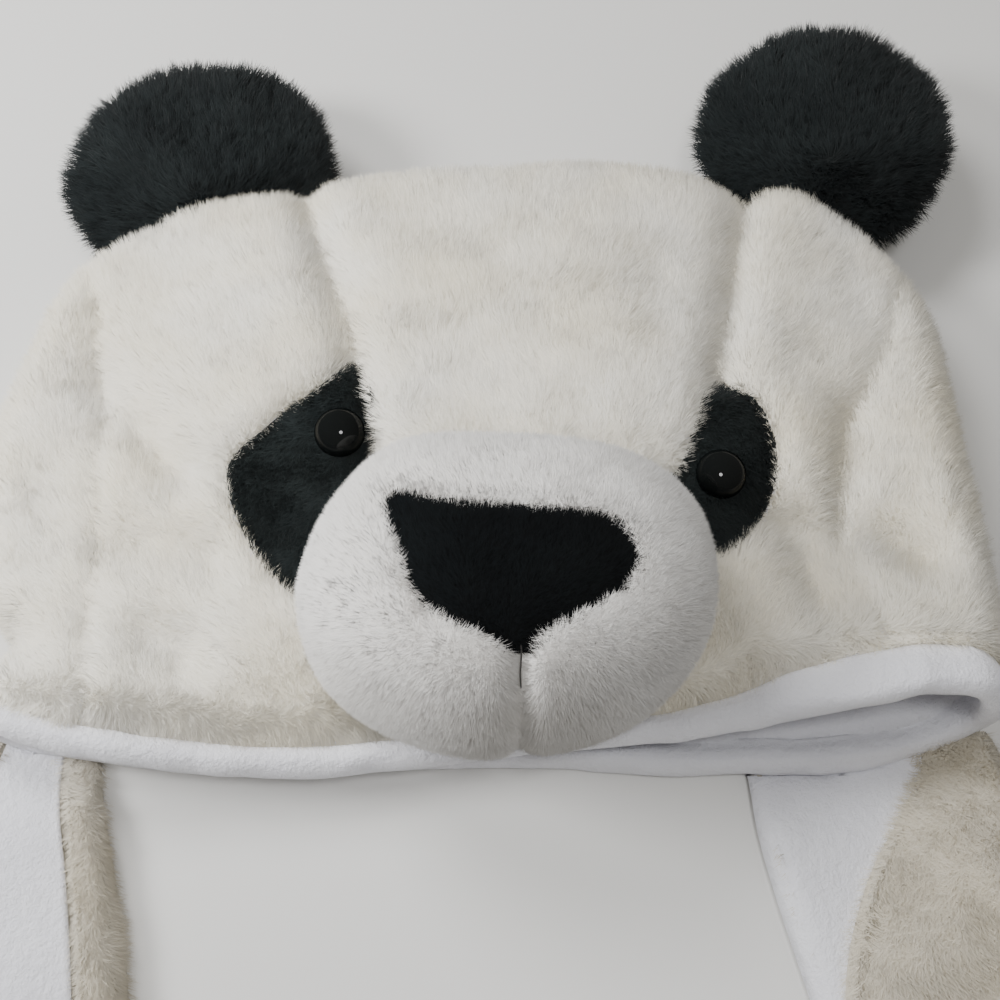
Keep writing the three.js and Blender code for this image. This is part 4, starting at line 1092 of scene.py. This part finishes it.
BLACK_PLUSH = plush_look(
    "black_plush", (0.018, 0.023, 0.024), (0.010, 0.013, 0.014), (0.004, 0.005, 0.005), 40.0, 0.12)
for side, x, y, wide, deep, turn, root_z, tip_z in EARS:
    points = ear_skin(x, y, wide, deep, turn, root_z, tip_z)
    middle = np.array([x, y, (root_z + tip_z) / 2])
    ear = plush_piece(
        f"ear_{side}_pad", f"ear_{side}_pile", points, grid_faces(points), BLACK_PLUSH, "black_plush",
        f"ear_{side}", wall=0, density=4.0, length=5.8, lean=0.7,
        flow=lambda root: unit(root - middle + EAR_FAN), seed=100 + len(side), keep=mostly_above,
        tuft=4.2)

# The lining: a bag of white fleece inside the plush, from the hem to the top.
LINING_DEPTH = 5.4
LINING_WALL = 1.7
HEM_LAP = 1.5


def fleece_look():
    """Bluish white, mottled by soft pilling of about a millimetre and a finer fuzz."""
    look, tree, shader = new_look("white_fleece")
    tone = add_node(tree, "ShaderNodeGroup", {
        "Light": (0.86, 0.865, 0.92, 1), "Shade": (0.80, 0.80, 0.86, 1), "Cloud Size": 60,
        "Fibre Size": 1300}, node_tree=PILE_TONE)
    pills = texture(tree, "ShaderNodeTexNoise", {"Scale": 420, "Detail": 3})
    bump = add_node(tree, "ShaderNodeBump", {
        "Strength": 0.7, "Distance": 0.0012,
        "Height": worked_out(tree, "MULTIPLY_ADD", tone.outputs["Height"], 0.7, pills)})
    feed(tree, shader, {
        "Base Color": tone.outputs["Color"], "Roughness": tone.outputs["Roughness"],
        "Normal": bump.outputs["Normal"], "Sheen Weight": 0.3, "Specular IOR Level": 0.2})
    return look


FLEECE = fleece_look()
front, back = crown_grids(
    48, 30, 5, LINING_DEPTH, lambda sheet, across: past_hem(sheet, across) - HEM_LAP)
faces = np.vstack([grid_faces(front), grid_faces(back, front.size // 3, flipped=True)])
skin_piece("lining_bag", np.stack([front, back]), faces, FLEECE, "white_fleece", "lining",
           wall=LINING_WALL)

# The hem: a soft roll of white fleece round the whole rim, turned over the plush and the lining and
# sewn down along its upper edge.
HEM_PUFF = 0.6
HEM_LOWEST = 0.1
HEM_ROLL = {"front": 0.8, "back": 3.2}
HEM_SEAM_SINK = {"outer": 2.8, "inner": -0.6}
ROLL_FADE = 0.08
HEM_SECTION = np.vstack([
    [(1 - t, 0.0) for t in np.linspace(0, 0.65, 6)],
    [(None, t) for t in np.linspace(0, math.pi, 13)],
    [(1 - t, 1.0) for t in np.linspace(0.65, 0, 6)],
]).astype(float)


def hem_ring():
    """The hem's section carried round the rim: up the outer face, round the lip by half a circle
    and down the inner face. Both faces puff out near the lip, the inner one more and most along
    the back, and sink at the seam."""
    columns = crown_steps(220, 6, True)
    sides = [("front", columns), ("back", (columns[0][-2:0:-1], columns[1][-2:0:-1]))]
    lip = WHOLE_WALL / 2
    rings = []
    for share, part in HEM_SECTION:
        turned = np.isnan(share)
        flat_share, inner = (0.0, (1 - math.cos(part)) / 2) if turned else (share, part)
        sink = (1 - inner) * HEM_SEAM_SINK["outer"] + inner * HEM_SEAM_SINK["inner"]
        depth = inner * WHOLE_WALL + sink * flat_share ** 2
        swell = math.cos(math.pi / 2 * flat_share) ** 2

        def start(sheet, across, share=share, part=part, turned=turned):
            if turned:
                return lip * (1 - math.sin(part)) + 0 * across
            return lip + share * (smooth_read(ACROSS, HEM_WIDTH[sheet], across) - lip)

        halves = []
        for sheet, steps in sides:
            off_fold = smooth_step(steps[0], 0, ROLL_FADE) * smooth_step(1 - steps[0], 0, ROLL_FADE)
            roll = HEM_ROLL["front"] + (HEM_ROLL[sheet] - HEM_ROLL["front"]) * off_fold
            deep = depth + swell * (inner * roll - (1 - inner) * HEM_PUFF)
            halves.append(crown_sheet(sheet, steps, (0.0, 0.0), deep, start))
        rings.append(np.vstack(halves))
    return np.stack(rings, 1)


hem_points = hem_ring()
drift = 0.7 * soft_noise(hem_points, 17, 5) + 0.35 * soft_noise(hem_points, 7, 6)
hem_points = hem_points + np.stack([0 * drift, drift, 0.7 * soft_noise(hem_points, 12, 7)], -1)
hem_points[..., 2] = np.maximum(hem_points[..., 2], HEM_LOWEST)
hem_points = closed_round(hem_points)
hem_points = np.concatenate([hem_points, hem_points[:1]])
skin_piece("rim_hem_roll", hem_points, grid_faces(hem_points, flipped=True), FLEECE, "white_fleece",
           "rim_hem")

# The ear flaps: plush outside and fleece inside, sewn together all round. The left one lies open,
# fleece up, with its edges rolled in; the right one is folded lengthwise over its fleece.
FLAP_START_Y = -50
FLAP_LENGTH = 128
FULL_FOLD = 16
UNDER_HEM = 1.0
FLAP_INSET = 1.8
FLAP_LOWEST = 0.2
FLEECE_LEVEL = 7.2
FLEECE_LIFT = 0.4
FLEECE_LOWEST = 2.0
FLEECE_PUFF = {"left": 1, "right": 0.3}
# How far a flap's fleece passes, or ends short of, the edges that it lies between, and how deep and
# how wide the right one is tucked in along its inner edge, and how deep at the hem.
FLEECE_EDGES = {"left": (6.2, -0.6), "right": (-1.4, -5.6)}
TUCK_DEPTH, TUCK_WIDTH, HEM_TUCK_DEPTH = 5.6, 5, 3.4
# Where a flap's pile shows: under it near its edges, above the right one's turned height or past
# its turned edge, and past the left one's cover or on its rolled edge.
UNDER_STRIP, TURNED_HEIGHT, TURNED_EDGE, COVER_LAP, ROLLED_EDGE = 8, 6.5, 3, 0.5, 4.5
FLAP_FLAT = {"left": (0.078, 0.125), "right": (0.125, 0.125)}
FLAP_FLOW = {"left": (0.1, -1, 0), "right": (-0.6, -0.8, 0)}
# For each distance down a flap, the x of its inner edge, of its cover's edge and of its outer edge.
FLAP_EDGES = {
    "left": [
        (0, -115, -125, -147), (20, -114.5, -125, -151), (50, -107, -118, -156),
        (80, -100, -112, -156), (105, -99, -109, -151), (120, -105, -112, -140),
        (128, -115, -118, -129),
    ],
    "right": [
        (0, 72, 119, 139), (20, 72.5, 118.5, 144), (50, 78, 101, 149), (80, 85.5, 92, 148),
        (105, 91, 95, 142), (120, 98, 102, 131), (128, 108, 111, 120),
    ],
}
# Points of a flap's section: shares of its inner, cover and outer edges, inset and height.
FLAP_SECTIONS = {
    "left": [
        (0.8, 0.2, 0, 0, 0), (1, 0, 0, 0, 3), (1, 0, 0, 0, 6.5), (0.75, 0.25, 0, 0, 9),
        (0.5, 0.5, 0, 0, 9.5), (0.15, 0.85, 0, 0, 8.8), (0, 1, 0, 0, 7), (0, 1, 0, 0, 5),
        (0, 0, 1, 6.5, 5), (0, 0, 1, 6.5, 7.5), (0, 0, 1, 3.5, 9), (0, 0, 1, 0, 6), (0, 0, 1, 0, 3),
        (0, 0, 1, 2, 0),
    ],
    "right": [
        (1, 0, 0, 2, 0), (1, 0, 0, 8, 0), (0, 0, 1, -3, 0), (0, 0, 1, 0, 4), (0, 0, 1, 0, 9.5),
        (0, 0, 1, -3, 12.8), (0, 0.5, 0.5, 0, 13.6), (0, 1, 0, 2, 12.6), (0, 1, 0, 0, 10.5),
        (0, 1, 0, 1, 7.6), (0, 0, 1, -5, 7.6), (0, 0, 1, -5, 5), (1, 0, 0, 8, 5), (1, 0, 0, 2, 5),
        (1, 0, 0, 0, 3), (1, 0, 0, 0, 1.5),
    ],
}


def flap_rows(count):
    """Distances down a flap, from its start to its tip and closer together near the tip."""
    return FLAP_LENGTH * np.sin(np.linspace(0, math.pi / 2, count))[:, None]


def flap_edges(side, down):
    """The x of the flap's inner edge, of its cover's edge and of its outer edge, that far down."""
    table = np.array(FLAP_EDGES[side], float)
    return [smooth_read(table[:, 0], table[:, i], down) for i in (1, 2, 3)]


def folded(cover, outer):
    """How much of the full fold there is room for, from 0 to 1."""
    return np.minimum(1, np.abs(outer - cover) / FULL_FOLD)


def rim_line(x):
    """The back rim's y at a place across."""
    return smooth_read(ACROSS, RIM["back"], across_at_rim(x))


def behind_rim(x, down):
    """The y that far down, kept just under the hem's lip."""
    return np.minimum(FLAP_START_Y - down + 0 * x, rim_line(x) + UNDER_HEM)


def flatter_at_rim(x, y):
    """How far a flap's height is pressed down where it is sewn under the hem."""
    return 0.35 + 0.65 * smooth_step(rim_line(x) - y, -2, 22)


def flap_skin(side, rows, steps, inset):
    """The flap's section, a closed smooth curve through its points, carried from the rim to the
    tip, and moved in by the pile's depth."""
    down = flap_rows(rows)
    inner, cover, outer = flap_edges(side, down)
    section = np.array(FLAP_SECTIONS[side], float)
    x = section[:, 0] * inner + section[:, 1] * cover + section[:, 2] * outer
    x = x + section[:, 3] * folded(cover, outer)
    z = np.broadcast_to(section[:, 4], x.shape)
    count = len(section)
    at = np.broadcast_to(np.arange(0, count, 1 / steps), (rows, count * steps))
    wrapped = np.arange(-1, count + 2)
    x, z = (smooth_read(wrapped, v[:, None, wrapped % count], at) for v in (x, z))
    run_x, run_z = (np.roll(v, -1, 1) - np.roll(v, 1, 1) for v in (x, z))
    around = np.sign((x * np.roll(z, -1, 1) - np.roll(x, -1, 1) * z).sum(1, keepdims=True))
    long = np.maximum(np.hypot(run_x, run_z), 1e-6)
    x, z = x - around * inset * run_z / long, z + around * inset * run_x / long
    y = behind_rim(x, down)
    z = np.maximum(z * flatter_at_rim(x, y), FLAP_LOWEST)
    points = np.stack([x, y, z], -1)
    return points if around[0, 0] > 0 else points[:, ::-1]


def capped(grid):
    """A closed tube: the grid closed on itself, with its two ends drawn together to their middles."""
    ends = [np.broadcast_to(row.mean(0), row.shape)[None] for row in (grid[0], grid[-1])]
    return closed_round(np.concatenate([ends[0], grid, ends[1]]))


def flap_fleece(side, rows, columns):
    """The fleece in a flap: a sheet between its two edges, pillowed a little between them. In the
    right flap it is lowered along its inner edge and near the hem, so that the plush covers it."""
    down = flap_rows(rows)
    inner, cover, outer = flap_edges(side, down)
    fold = folded(cover, outer)
    first, last = FLEECE_EDGES[side]
    if side == "left":
        low, high = outer + first * fold, cover + last
    else:
        low, high = inner + first, outer + last * fold
    share = np.linspace(0, 1, columns)
    x = low + (high - low) * share
    y = behind_rim(x, down)
    z = FLEECE_LEVEL + 0 * x
    puff = 4 * share * (1 - share) * (0.8 + 0.7 * soft_noise(np.stack([x, y, z], -1), 16, 8))
    z = z + puff * FLEECE_PUFF[side]
    if side == "right":
        z = z - TUCK_DEPTH * np.clip(1 - (x - low) / TUCK_WIDTH, 0, 1) ** 2
        z = z - HEM_TUCK_DEPTH * (1 - flatter_at_rim(x, y))
    return np.stack([x, y, np.maximum(z * flatter_at_rim(x, y) + FLEECE_LIFT, FLEECE_LOWEST)], -1)


def pile_shows(side):
    """Keeps a flap's roots outside its fleece, and one in six of those that it lies on."""
    def shows(root, normal):
        x, y, z = root.T
        inner, cover, outer = flap_edges(side, FLAP_START_Y - y)
        high = z / flatter_at_rim(x, y)
        past_edge = np.minimum(np.abs(x - inner), np.abs(x - outer))
        under = (normal[:, 2] < -0.8) & (past_edge > UNDER_STRIP) & (np.arange(len(root)) % 6 == 0)
        if side == "right":
            top = (high > TURNED_HEIGHT) | (x > outer - TURNED_EDGE)
        else:
            top = (x > cover - COVER_LAP) | (x < outer + ROLLED_EDGE)
        return (top & (normal[:, 2] > -0.6) & (high > 1)) | under
    return shows


# The flaps' plush is the crown's white plush painted darker and creamier: painted shade, for the flaps
# lie low beside the hat in shade.
SHADED_FLAP_PILE, SHADED_FLAP_BACKING = plush_look(
    "flap_plush_painted_shade", (0.68, 0.645, 0.57), (0.63, 0.575, 0.46), (0.58, 0.545, 0.475))
for side, (flat_wide, flat_long) in FLAP_FLAT.items():
    points = capped(flap_skin(side, 44, 5, FLAP_INSET))
    faces = grid_faces(points)
    flap = skin_piece(f"flap_{side}_plush", points, faces, SHADED_FLAP_BACKING, "white_plush", f"flap_{side}")
    sheet = flap_fleece(side, 40, 24)
    fleece = skin_piece(
        f"flap_{side}_fleece", sheet, grid_faces(sheet, flipped=side == "left"), FLEECE,
        "white_fleece", f"flap_lining_{side}", wall=LINING_WALL, welded=False)
    strands(f"flap_{side}_pile", points, faces, SHADED_FLAP_PILE, "white_plush", density=5.5, length=5.4,
            lean=0.85, flow=pile_flow(*FLAP_FLOW[side]), seed=130 + len(side), keep=pile_shows(side),
            pull=0.3, lift=0.9)
